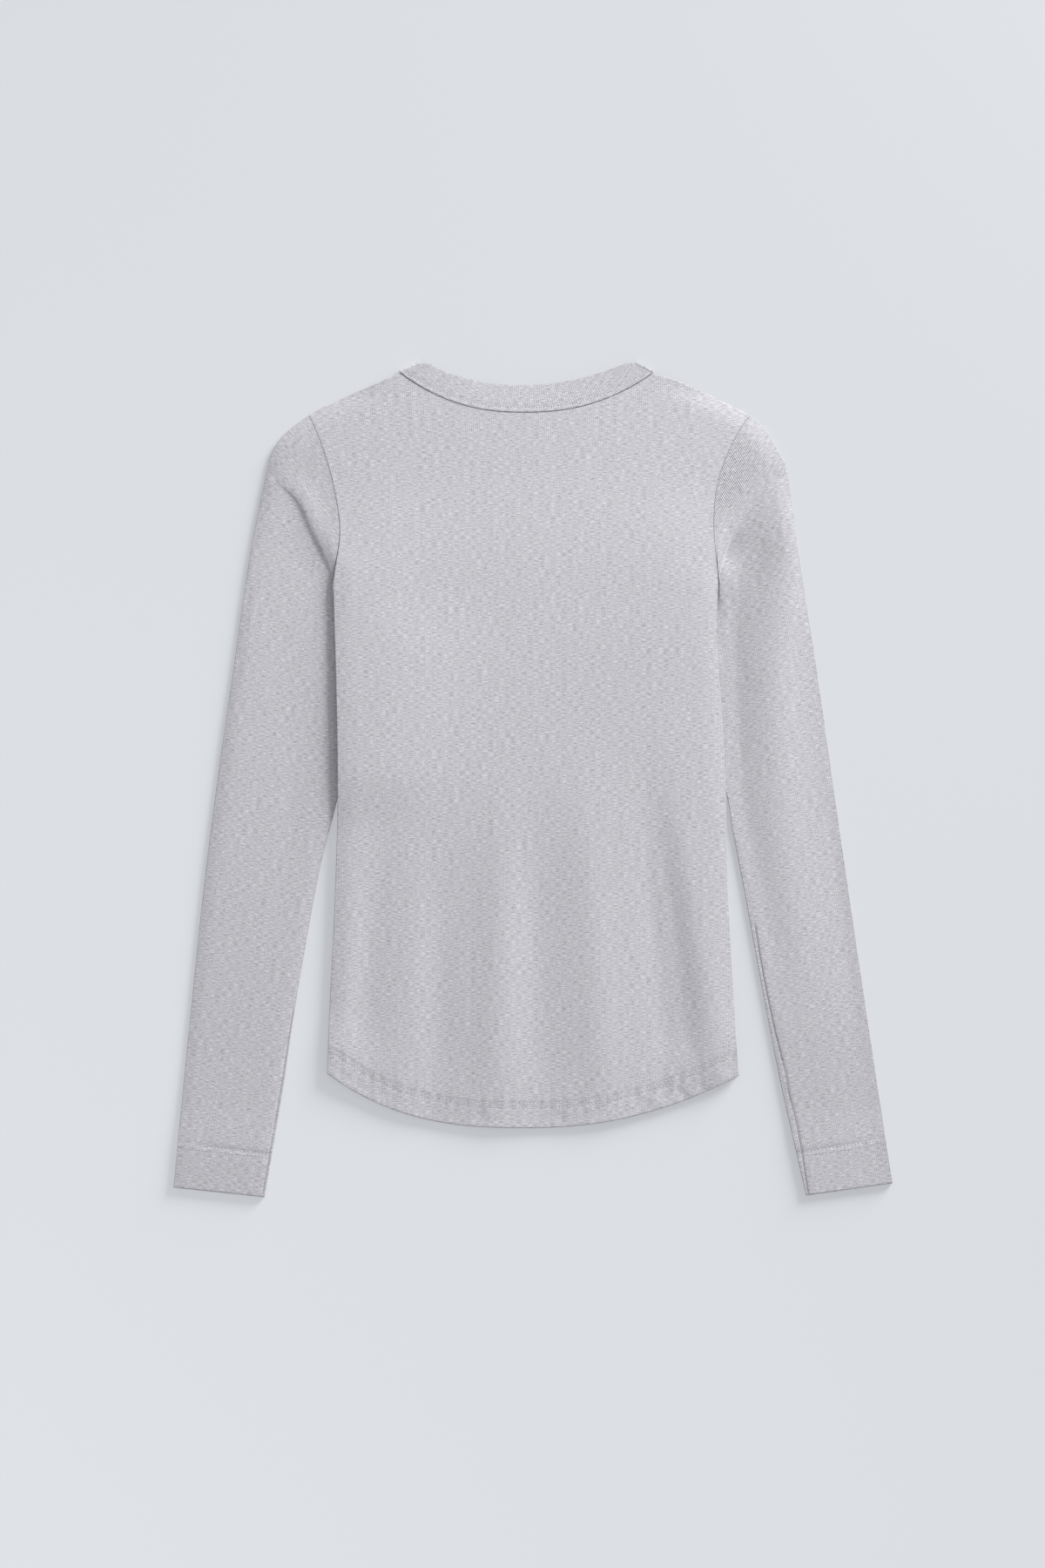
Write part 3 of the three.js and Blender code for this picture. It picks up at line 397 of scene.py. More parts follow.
def makeHeatherGroup():
    # Flecks: noise stretched along the course, so that each dark or pale fibre shows for a few stitches.
    f = fleckShape
    tree, give, take = socketGroup(
        "heatherYarn", {"Length": 0.0048, "Width": 0.00056, "Contrast": 1.0}, ["Mix", "Tint"])
    parts = tree.nodes.new("ShaderNodeSeparateXYZ")
    tree.links.new(give["Vector"], parts.inputs[0])
    wavy = maths(tree, "MULTIPLY", noise(tree, give["Vector"], f["waveScale"], 2), f["wave"])
    place = combine(tree, maths(tree, "DIVIDE", parts.outputs[0], give["Length"]),
                    maths(tree, "DIVIDE", maths(tree, "ADD", parts.outputs[1], wavy), give["Width"]))
    fleck = noise(tree, place, 1.0, 3, f["rough"])
    dot = noise(tree, place, f["dotScale"], 1, 0.5)
    cloudy = noise(tree, give["Vector"], f["cloudScale"], 3, 0.6)
    total = maths(tree, "MULTIPLY_ADD", dot, f["dot"], fleck)
    total = maths(tree, "MULTIPLY_ADD", cloudy, f["cloud"], total)
    even = maths(tree, "SUBTRACT", total, f["middle"])
    even = maths(tree, "MULTIPLY_ADD", even, give["Contrast"], 0.5, clamp=True)
    tree.links.new(even, take["Mix"])
    tree.links.new(noise(tree, place, f["tintScale"], 2, 0.6), take["Tint"])
    return tree


knit = {
    "rib": makeRibGroup(), "heather": makeHeatherGroup(),
    "dark": (0.327, 0.322, 0.339), "pale": (0.915, 0.903, 0.935),
    "lilac": (1.008, 0.99, 1.012), "green": (0.998, 1.0, 0.998),
    "tintZone": (0.35, 0.65), "contrast": 2.2, "relief": 0.000043, "course": 0.00066,
    # the last two: the darkest painted shade on a turned edge, and how far in it reaches
    "sheen": 0.12, "sheenRoughness": 0.5, "roughness": 0.88, "gloss": 0.2, "paintedEdgeShade": 0.28, "edgeWidth": 1.2,
}


def knitMaterial(name, pitch, valley, brightness=1.0):
    material = bpy.data.materials.new(name)
    material.use_nodes = True
    tree = material.node_tree
    shader = tree.nodes["Principled BSDF"]
    place = tree.nodes.new("ShaderNodeUVMap")
    place.uv_map = "knit"
    rib, heather = tree.nodes.new("ShaderNodeGroup"), tree.nodes.new("ShaderNodeGroup")
    rib.node_tree, heather.node_tree = knit["rib"], knit["heather"]
    for group in (rib, heather):
        tree.links.new(place.outputs[0], group.inputs["Vector"])
    rib.inputs["Pitch"].default_value = pitch
    rib.inputs["Course"].default_value = knit["course"]
    rib.inputs["Valley"].default_value = valley
    heather.inputs["Contrast"].default_value = knit["contrast"]
    yarn = blendColour(tree, "MIX", heather.outputs["Mix"], knit["dark"], knit["pale"])
    tint = remap(tree, heather.outputs["Tint"], *knit["tintZone"], 0.0, 1.0)
    tint = blendColour(tree, "MIX", tint, knit["lilac"], knit["green"])
    yarn = blendColour(tree, "MULTIPLY", 1.0, yarn, tint)
    edge, opened = tree.nodes.new("ShaderNodeAttribute"), tree.nodes.new("ShaderNodeAttribute")
    edge.attribute_name, opened.attribute_name = "edge", "ribs"
    tree.links.new(opened.outputs["Fac"], rib.inputs["Opened"])
    shade = maths(tree, "MULTIPLY", rib.outputs["Shade"], brightness)
    # painted shade: the edge attribute darkens the turned edges
    shade = maths(tree, "MULTIPLY", shade, remap(tree, edge.outputs["Fac"], 0.0, 1.0, 1.0, knit["paintedEdgeShade"]))
    colour = blendColour(tree, "MULTIPLY", 1.0, yarn, combine(tree, shade, shade, shade))
    tree.links.new(colour, shader.inputs["Base Color"])
    bump = tree.nodes.new("ShaderNodeBump")
    bump.inputs["Distance"].default_value = knit["relief"]
    bump.inputs["Strength"].default_value = 1.0
    tree.links.new(rib.outputs["Height"], bump.inputs["Height"])
    tree.links.new(bump.outputs[0], shader.inputs["Normal"])
    shader.inputs["Roughness"].default_value = knit["roughness"]
    shader.inputs["Specular IOR Level"].default_value = knit["gloss"]
    shader.inputs["Sheen Weight"].default_value = knit["sheen"]
    shader.inputs["Sheen Roughness"].default_value = knit["sheenRoughness"]
    return material


bodyKnit = knitMaterial("bodyKnit", pitch=0.00163, valley=0.06, brightness=0.985)
sleeveKnit = knitMaterial("sleeveKnit", pitch=0.00158, valley=0.1)
bandKnit = knitMaterial("bandKnit", pitch=0.0019, valley=0.2, brightness=0.98)
threadMaterial = knitMaterial("sewingThread", pitch=0.0004, valley=0.1, brightness=1.05)
print("materials made")

# body panels
bodyPanel = {
    "edgeSteps": [0, 0.05, 0.15, 0.3, 0.5, 1.1, 2.1, 3.6, 5.6, 8.4, 12],  # from a side, closer at the fold
    "width": 349.0, "neckWidth": 189, "shoulderWidth": 68, "armholeLength": 142,
    "columnStep": 2.6, "rowStep": 3.4, "frontCoarser": 1.5,
    "hemStep": 1.15, "hemZone": 30, "hemEdgeRows": [0.35, 0.9],
    "seamRows": [1.994, 1.998],  # the last rows before the shoulder's point, as sidePath counts
    "sideFade": {"back": 6, "front": 14}, "neckStart": {"back": 0.23, "front": 0.17},  # share of the width
    "ribFan": 0.07, "fanY": (215, 335),  # how much wider apart the ribs stand at the shoulders
    "seamRoll": 0.3, "seamDrop": 0.2, "foldRoll": 0.3, "foldDrop": 1.0,
    "stitchRows": [17.3, 20.9], "stitchSink": 0.22, "frontSink": 0.25,
    # the hem's stitching sinks and ripples the cloth beside it
    "hemSink": 0.25, "hemSinkZone": (24, 14), "hemSinkEdge": 8, "hemRipple": 0.16, "rippleWidth": 9,
    "rippleTurn": 0.61, "drift": 2.2, "driftTurn": 0.087,  # a wave about every 10 mm, uneven
    "puckerZone": (34, 8), "hemEdgeDrop": 1.1, "hemEdgeRoll": 0.5, "clear": 0.15,
    "turnZone": (19.6, 18.4), "thinnest": 0.1,
}
backFolds = {  # the long soft folds of the lower back, from their tops down to the hem
    "x0": [-155, -124, -92, -79, -22, -6, 38, 92, 104],
    "y0": [20, 30, 0, -10, 40, 30, 60, 70, 60],
    "x1": [-170, -150, -112, -82, -33, 10, 62, 128, 166],
    "height": [0.4, -1.0, 0.4, -0.7, 1.5, -0.8, 1.3, -1.85, 0.9],
    "width": [13, 15, 13, 14, 20, 17, 20, 21, 15], "grow": 190, "edgeWidth": 30, "hemLess": 0.4,
}
hemPuckers = {  # small creases that the hem's stitching pulls
    "x0": [122, 141, 100, 60, 156, -48, -120, -152, 20, 82],
    "y0": [-262, -259, -268, -275, -248, -282, -262, -243, -283, -262],
    "x1": [133, 151, 112, 52, 166, -40, -128, -160, 26, 92],
    "y1": [-274, -268, -281, -288, -256, -293, -272, -250, -293, -276],
    "bend": [1, 1, 0, 1, 0, 0, 1, 0, 0, 1],
    "height": [-0.75, -0.5, 0.45, -0.4, 0.35, -0.3, -0.3, 0.3, -0.3, -0.3],
    "width": [2.2, 2.0, 4.5, 3, 4, 4, 3, 3.5, 4, 3],
}


def overSleeve(x, y, side, ramp, topY=armhole["left"]["y"][-1]):
    # 1 over a tucked sleeve, down to 0 at this ramp inside it and at this height
    inside = outward[side] * (x - edgeX(innerCurve[side], np.minimum(y, tuck["highestY"]))) + tuck["margin"]
    lowY = armhole[side]["y"][-1] - tuck["armpitRun"]
    return smooth(-ramp, 0, inside) * smooth(topY, lowY, y)


def frontBottom(x, y):  # the front rises over the two tucked sleeves
    return tuck["lift"] * np.maximum(*(overSleeve(x, y, side, tuck["ramp"]) for side in outward))


def backLift(x, y, fromEdge):
    # The back spans from one tucked sleeve to the other, so it hangs over the front between them.
    each = {s: overSleeve(x, y, s, tuck["backRamp"], tuck["backTopY"]) for s in outward}
    sides = np.maximum(each["left"], each["right"])
    span = tuck["pocket"] * smooth(*tuck["pocketLow"], y) * smooth(*tuck["pocketHigh"], y)
    span = span * smooth(0, tuck["pocketEdge"], fromEdge)
    higher = sum(tuck["bodyLift"][s] * each[s] * smooth(*tuck["liftRise"][s], y)
                 * (1 - tuck["fallShare"] * smooth(*tuck["liftFall"][s], y)) for s in outward)
    return tuck["lift"] * np.maximum(sides, span + sides * (1 - span)) + higher


def longFolds(x, y):
    # Each is height * exp(-(off/width)^2) about a straight line down to the hem, and starts from nothing.
    total = np.zeros(np.shape(x))
    for x0, y0, x1, height, width in zip(*(backFolds[k] for k in ("x0", "y0", "x1", "height", "width"))):
        t = np.clip((y0 - y) / (y0 - hem["lowY"]), 0, 1)
        grown = smooth(0, backFolds["grow"], y0 - y)
        total += height * grown * np.exp(-((x - x0 - (x1 - x0) * t) / width) ** 2)
    return total


def overBand(x, y):  # 1 over the front neckband, which the back has to clear
    centre = (neck["left"]["seamX"] + neck["right"]["seamX"]) / 2
    halfWidth = (neck["right"]["seamX"] - neck["left"]["seamX"]) / 2
    down = (neck["left"]["seamY"] - y) / (neck["left"]["seamY"] - neck["front"]["seamY"])
    return smooth(*air["bandZone"], ((x - centre) / halfWidth) ** 2 + down ** 2)


def backTop(x, y, hemShare=0.0):
    # Height of the back's outer face: what lifts it, plus two plies, plus the air between them and the folds.
    fromFold = distanceTo(foldCurves, x, y)
    full = np.maximum(puffed(fromFold), overBand(x, y))
    lifted = frontBottom(x, y)
    fromEdge = np.minimum(fromFold, distanceTo([*armholeCurve.values()], x, y))
    lifted = np.maximum(lifted, backLift(x, y, fromEdge))
    room = 1 - air["overSleeve"] * np.minimum(lifted / tuck["lift"], 1)
    room = room * (1 + (air["hem"] / air["body"] - 1) * hemShare)
    folds = longFolds(x, y) * puffed(fromFold, backFolds["edgeWidth"]) * (1 - backFolds["hemLess"] * hemShare)
    plies = 2 * (cloth["wall"] + cloth["turned"] * hemShare) + cloth["gap"]
    return lifted + plies + np.maximum(air["body"] * full * room + folds, 0)


def hemPoint(share):  # the hem's edge: a power curve from its low middle up to each side's corner
    t = np.abs(2 * share - 1)
    isLeft = share < 0.5
    cornerX = np.where(isLeft, sideEdge["left"]["x"][0], sideEdge["right"]["x"][0])
    cornerY = np.where(isLeft, sideEdge["left"]["y"][0], sideEdge["right"]["y"][0])
    power = np.where(isLeft, hem["leftPower"], hem["rightPower"])
    return np.stack((hem["centreX"] + (cornerX - hem["centreX"]) * t,
                     hem["lowY"] + (cornerY - hem["lowY"]) * t ** power), -1)


def neckLine(layer, share, kind="seam"):
    # The band's "seam" or its free "edge", for shares from 0 at the left end to 1 at the right:
    # a power curve down to the middle on the back, half an ellipse on the front.
    t = 2 * np.asarray(share, dtype=float) - 1
    endX, endY, power = (np.where(t < 0, neck["left"][kind + k], neck["right"][kind + k])
                         for k in ("X", "Y", "Power"))
    middleY = neck[layer][kind + "Y"]
    if layer == "back":
        x = neck["backX"] + (endX - neck["backX"]) * np.abs(t)
        return np.stack((x, middleY + (endY - middleY) * np.abs(t) ** power), -1)
    centre = (neck["left"][kind + "X"] + neck["right"][kind + "X"]) / 2
    halfWidth = (neck["right"][kind + "X"] - neck["left"][kind + "X"]) / 2
    x, y = centre + halfWidth * np.sin(pi / 2 * t), endY + (middleY - endY) * np.cos(pi / 2 * t)
    return np.stack((x, y), -1)


def panelNeck(layer, share, near=0.002):  # the panel's neck edge, a seam gap outside the band's seam
    before, after = neckLine(layer, np.maximum(share - near, 0)), neckLine(layer, np.minimum(share + near, 1))
    tangent = (after - before) / np.linalg.norm(after - before, axis=-1, keepdims=True)
    return neckLine(layer, share) + cloth["gap"] * np.stack((tangent[..., 1], -tangent[..., 0]), -1)


def panelTop(layer, u):  # along the left shoulder, round the neck, and along the right shoulder
    start = bodyPanel["neckStart"][layer]
    left, right = along(shoulderCurve["left"], u / start), along(shoulderCurve["right"], (1 - u) / start)
    middle = panelNeck(layer, np.clip((u - start) / (1 - 2 * start), 0, 1))
    return np.where((u <= start)[:, None], left, np.where((u >= 1 - start)[:, None], right, middle))


def sidePath(side, w):  # up the side for w from 0 to 1, then up the armhole from 1 to 2
    below, beside = along(sideCurve[side], w), along(armholeCurve[side], 2 - w)
    return np.where((w <= 1)[:, None], below, beside)


def panelGrid(layer, coarser=1.0):
    # Straight columns from the hem to the top, bent towards each side's outline by share^sideFade.
    p, start = bodyPanel, bodyPanel["neckStart"][layer]
    near = np.array(p["edgeSteps"]) / p["width"]
    columnStep, rowStep = p["columnStep"] * coarser, p["rowStep"] * coarser
    neckColumns = np.linspace(start, 1 - start, int(p["neckWidth"] / columnStep) | 1)
    sideColumns = np.linspace(near[-1], start, int(p["shoulderWidth"] / columnStep))[1:-1]
    u = np.concatenate((near, sideColumns, neckColumns, 1 - sideColumns[::-1], 1 - near[::-1]))
    sideLength = sideCurve["left"][1][-1]
    hemRows = np.arange(0, p["hemZone"], p["hemStep"] * coarser)
    if coarser == 1:
        hemRows[1:3] = p["hemEdgeRows"]
    upper = np.linspace(p["hemZone"], sideLength, int((sideLength - p["hemZone"]) / rowStep))
    above = np.concatenate((hemRows, upper)) / sideLength
    armholeRows = 2 - np.linspace(1, 0, int(p["armholeLength"] / rowStep))[1:]
    w = np.concatenate((above, np.sort(np.append(armholeRows, p["seamRows"]))))
    left, right = sidePath("left", w), sidePath("right", w)
    v = np.append(0, np.cumsum(np.hypot(*np.diff(left, axis=0).T)))
    v = (v / v[-1])[:, None, None]
    xy = hemPoint(u)[None] * (1 - v) + panelTop(layer, u)[None] * v
    for edge, fade in ((left, 1 - u), (right, u)):
        bulge = edge[:, None] - edge[0] * (1 - v) - edge[-1] * v
        xy = xy + bulge * (fade ** p["sideFade"][layer])[None, :, None]
    return xy[..., 0], xy[..., 1]


def ribPlace(x, y):  # across the ribs and along them, in metres: the ribs fan out at the shoulders
    fan = 1 - bodyPanel["ribFan"] * smooth(*bodyPanel["fanY"], y)
    return np.stack((x * fan, y), -1) / 1000


hemCurve = (hemPoint(np.linspace(0, 1, 241)), None)
neckCurve = (neckLine("back", np.linspace(0, 1, 121)), None)


def stitched(distance, rows, sink, reach=1.0):  # grooves that rows of stitches pull into the cloth
    return -sink * sum(np.exp(-((distance - row) / reach) ** 2) for row in rows)


def hemWall(fromHem):  # the cloth is double in the hem
    return cloth["wall"] + cloth["turned"] * smooth(*bodyPanel["turnZone"], fromHem)


def backSurface(x, y):  # the back's outer face, with its puckers, stitching and rolled edges
    p = bodyPanel
    fromHem, fromFold = distanceTo([hemCurve], x, y), distanceTo(foldCurves, x, y)
    z = backTop(x, y, smooth(hem["depth"] + hem["ease"], hem["depth"], fromHem))
    z = z + creased(hemPuckers, x, y) * smooth(*p["puckerZone"], fromHem)
    z = z + stitched(fromHem, p["stitchRows"], p["stitchSink"])
    sink = p["hemSink"] * smooth(*p["hemSinkZone"], fromHem)
    z = z - sink * (1 - smooth(p["hemSinkEdge"], 0, fromHem) * 0.5)
    ripple = np.sin(x * p["rippleTurn"] + p["drift"] * np.sin(x * p["driftTurn"]))
    z = z + p["hemRipple"] * ripple * np.exp(-((fromHem - hem["depth"]) / p["rippleWidth"]) ** 2)
    fromSeam = distanceTo([*armholeCurve.values(), neckCurve], x, y)
    z = z - p["seamDrop"] * rolled(fromSeam, p["seamRoll"])
    lowest = frontBottom(x, y) + cloth["wall"] + cloth["gap"] + p["clear"]
    z = np.maximum(z - p["foldDrop"] * rolled(fromFold, p["foldRoll"]), lowest)
    return np.maximum(z - p["hemEdgeDrop"] * rolled(fromHem, p["hemEdgeRoll"]), lowest)


def panelPiece(name, x, y, top, bottom, edge, node):  # a sheet between two grids of heights
    points = np.concatenate([np.stack((x, y, z), -1).reshape(-1, 3) for z in (top, bottom)])
    faces = sheetFaces(*x.shape)
    uv = np.tile(ribPlace(x, y).reshape(-1, 2), (2, 1))[faces]
    return makePiece(name, points, faces, uv, np.tile(edge.ravel(), 2), bodyKnit, node)


def makeBack():
    x, y = panelGrid("back")
    top = backSurface(x, y)
    under = frontBottom(x, y) + cloth["wall"] + cloth["gap"] + cloth["clear"]
    bottom = np.maximum(top - hemWall(distanceTo([hemCurve], x, y)), under)
    bottom = np.minimum(bottom, top - cloth["thinnest"])
    # Painted shade on the turned edges, darker on the side that faces away from the light: lines, tone,
    # reach. The last is a wide painted shade beside the right shoulder.
    toned = (([hemCurve], 0.1, 1), ([neckCurve], 0.42, 1),
             ([sideCurve["left"], shoulderCurve["left"]], 0.45, 1), ([armholeCurve["left"]], 0.6, 1),
             ([sideCurve["right"]], 0.8, 1), ([armholeCurve["right"]], 0.3, 1),
             ([shoulderCurve["right"]], 1.0, 1), ([shoulderCurve["right"]], 0.17, 16))
    edge = np.max([tone * rolled(distanceTo(lines, x, y), reach * knit["edgeWidth"])
                   for lines, tone, reach in toned], axis=0)
    return panelPiece("backCloth", x, y, top, bottom, edge, "back_panel")


def makeFront():
    p = bodyPanel
    x, y = panelGrid("front", p["frontCoarser"])
    fromHem, fromFold = distanceTo([hemCurve], x, y), distanceTo(foldCurves, x, y)
    fromEdge = np.minimum(fromFold, fromHem)
    base = frontBottom(x, y)
    bottom = base + p["foldDrop"] * rolled(fromEdge, p["foldRoll"])
    bottom = bottom - stitched(fromHem, p["stitchRows"], p["frontSink"])
    top = np.maximum(base + hemWall(fromHem), bottom + p["thinnest"])
    # painted shade on the front's turned edges
    return panelPiece("frontCloth", x, y, top, bottom, rolled(fromEdge, knit["edgeWidth"]), "front_panel")


backCloth = makeBack()
frontCloth = makeFront()

# sleeves
ringTable = {  # a column for each ring: its place along the outer and the inner edge, measured from the
    # armhole, and for the last four from the cuff's edge
    "outer": [0, 16, 32, 48, 62.5, 65.7, 75, 88, 104, 124, 148, 176, 206, 240, 277, 317, 357, 402, 452, 507,
              562, 606, -37.5, -35, -18, 0],
    "inner": [0, 0.6, 1.2, 1.8, 2.6, 3.8, 6.6, 10.5, 17, 27, 42, 64, 90, 122, 157, 194, 230, 270, 317, 372,
              426, 470, -40, -37.5, -19, 0],
    "armhole": [1, 0.75, 0.5, 0.25] + [0] * 22,
    "crease": [0, 0.25, 0.5, 0.75, 1, 0.97, 0.85, 0.68, 0.48, 0.3, 0.15, 0.05] + [0] * 14,
    "cuff": [0] * 21 + [0.3, 1, 1, 1, 1],
}
sleeveSize = {
    "outerSteps": [0, 0.05, 0.15, 0.3, 0.5, 1, 1.7, 2.8, 4.2, 6.2, 9],  # from each edge of the flat sleeve
    "innerSteps": [0, 0.05, 0.15, 0.3, 0.5, 1, 1.5, 2, 2.5, 3, 3.5, 4, 4.5, 5.1, 6, 7.2, 9],
    "middleColumns": 34, "rowStep": 3.0, "cuffRing": 22, "cuffGridRing": 20,
    "ringSteps": {4: 6, 22: 4, -1: 9}, "extraRings": [0.01, 0.025, 0.06, 24.95, 24.98],
    "rollWidth": 0.3, "cuffRoll": 0.8, "cuffRim": 0.6, "seamDrop": 0.1, "insetWidth": 3, "inset": 1.2,
    "stitchRows": [34.4, 37.8], "stitchSink": 0.3, "turnZone": (22.4, 22.9),  # rings where the turn-up starts
    "capRib": {"left": 33, "right": -33}, "armRib": {"left": 7.2, "right": -10.2},  # degrees off vertical
    "capEnd": {"edge": 4, "knit": 4.3, "ridge": 4.5, "height": (3.6, 5.5)},  # rings where the cap leaves off
    # the crease, on the cap and on the arm, and where it grows and fades across the sleeve
    "creaseDepth": {"left": (0.72, 0.55), "right": (0.8, 0.8)},
    "creaseWidth": {"left": (9, 26), "right": (17, 20)},
    "creaseGrow": {"left": (-0.08, 0.45), "right": (-0.35, 0.45)}, "creaseFade": {"left": 0, "right": 0.75},
    "fadeFrom": 0.6,
    "capRidge": {"left": 0.9, "right": 0.3}, "ridgeAt": 17, "ridgeWidth": 10, "ridgeZone": (4, 55),
    "capRibs": {"left": 2.4, "right": 3.4}, "capRibZone": (0, 18), "capRibEdge": (0, 30),
    "sink": 0.12, "levelReach": 22, "levelZone": (-4, 16),  # level with the back beside the armhole
    "armStart": 65.7, "riseFrom": -0.35, "riseRun": {"left": 55, "right": 90},
    "armpitPull": {"left": 0.0, "right": 0.6}, "pullReach": 23, "pullEdge": 0.4, "pullSpread": 0.08,
    "seamGroove": 0.32, "grooveWidth": 0.75,
}
creaseTrough = {  # the lowest line of each crease, just below its fold
    "left": {"x": [-231, -209.5, -196.5, -186.5, -172], "y": [248, 229, 202, 183, 165]},
    "right": {"x": [216.3, 200.5, 184, 168.7, 157.8], "y": [257, 252.7, 234, 208, 171.4]},
}
troughCurve = {s: curveThrough(creaseTrough[s]) for s in outward}
sleeveFolds = {  # soft ridges and troughs along a line of points, each with its height there
    "left": [
        {"x": [-228, -236, -250, -265, -278], "y": [180, 120, 20, -90, -200],
         "height": [0, 0.3, 0.45, 0.3, 0], "width": 20},
        {"x": [-192, -199, -208, -226], "y": [90, 40, -60, -170], "height": [0, -0.3, -0.3, 0], "width": 13},
    ],
    "right": [
        {"x": [209, 211, 210, 208, 204, 206, 210, 215, 223, 236],
         "y": [262, 224, 188, 150, 99, 40, -20, -79, -138, -230],
         "height": [0, 1.3, 2.1, 2.4, 2.3, 1.9, 1.5, 1.1, 0.6, 0], "width": 22},
        {"x": [186, 172, 168, 167, 170, 176, 191, 204, 214],
         "y": [250, 217, 158, 99, 40, -20, -79, -138, -210],
         "height": [0, -0.5, -0.9, -1.1, -1.0, -0.8, -0.6, -0.5, 0], "width": 12},
        {"x": [258, 262, 268, 276], "y": [0, -60, -150, -260], "height": [0, -0.4, -0.4, 0], "width": 14},
        {"x": [242, 246, 252, 258], "y": [-190, -235, -275, -330], "height": [0, 0.15, 0.15, 0], "width": 12},
    ],
}
paintedSleeveShade = {  # painted shade: the right sleeve is darkened along its length, in the hollow beside its armpit, and near its outer edge
    "y": [-330, -276, -242, -209, -165, -119, -41, 28, 95, 129, 163, 197, 231, 270],
    "tone": [0.03, 0.09, 0.09, 0.05, 0.02, 0.02, 0.03, 0.04, 0.06, 0.07, 0.09, 0.11, 0.07, 0],
    "hollowX": [171, 166, 206], "hollowY": [204, 192, 195], "hollowTone": [0.2, 0.2, 0.1],
    "hollowWidth": [9, 7, 24], "paintedEdgeShade": 0.14, "edgeReach": (15, 2),
}
paintedTurnShade = {  # painted shade on each turned edge, darker where it faces away from the light from the upper right
    "left": {"outer": 0.3, "armhole": 0.6, "inner": 0.95, "cuff": 0.2, "underarm": 0.35},
    "right": {"outer": 1.0, "armhole": 0.3, "inner": 0.4, "cuff": 0.2, "underarm": 0.75},
}
underarmSeam = {
    "left": {"x": [-203.8, -214.6, -229.6], "y": [-196, -263.8, -352]},
    "right": {"x": [188.5, 192.9, 201.3, 207.2, 213.9, 217.6, 222.7, 227.9, 231.6, 233.4],
              "y": [-125, -153, -196.5, -222.4, -249, -269, -289.7, -316.4, -340.8, -352]},
}


def sleeveRings(side):  # q counts the table's columns, with even steps between them
    size, full = sleeveSize, {"outer": outerCurve[side][1][-1], "inner": innerCurve[side][1][-1]}
    t = {k: np.array(v, dtype=float) for k, v in ringTable.items()}
    for k in full:
        t[k][size["cuffRing"]:] += full[k]
    steps = np.maximum(np.round(np.diff(t["outer"]) / size["rowStep"]), 2).astype(int)
    for place, count in size["ringSteps"].items():
        steps[place] = count
    index = np.arange(len(t["outer"]))
    q = np.concatenate([i + np.arange(n) / n for i, n in enumerate(steps)] + [index[-1:]])
    q = np.sort(np.append(q, size["extraRings"]))
    return q, {k: np.interp(q, index, v) for k, v in t.items()}, full


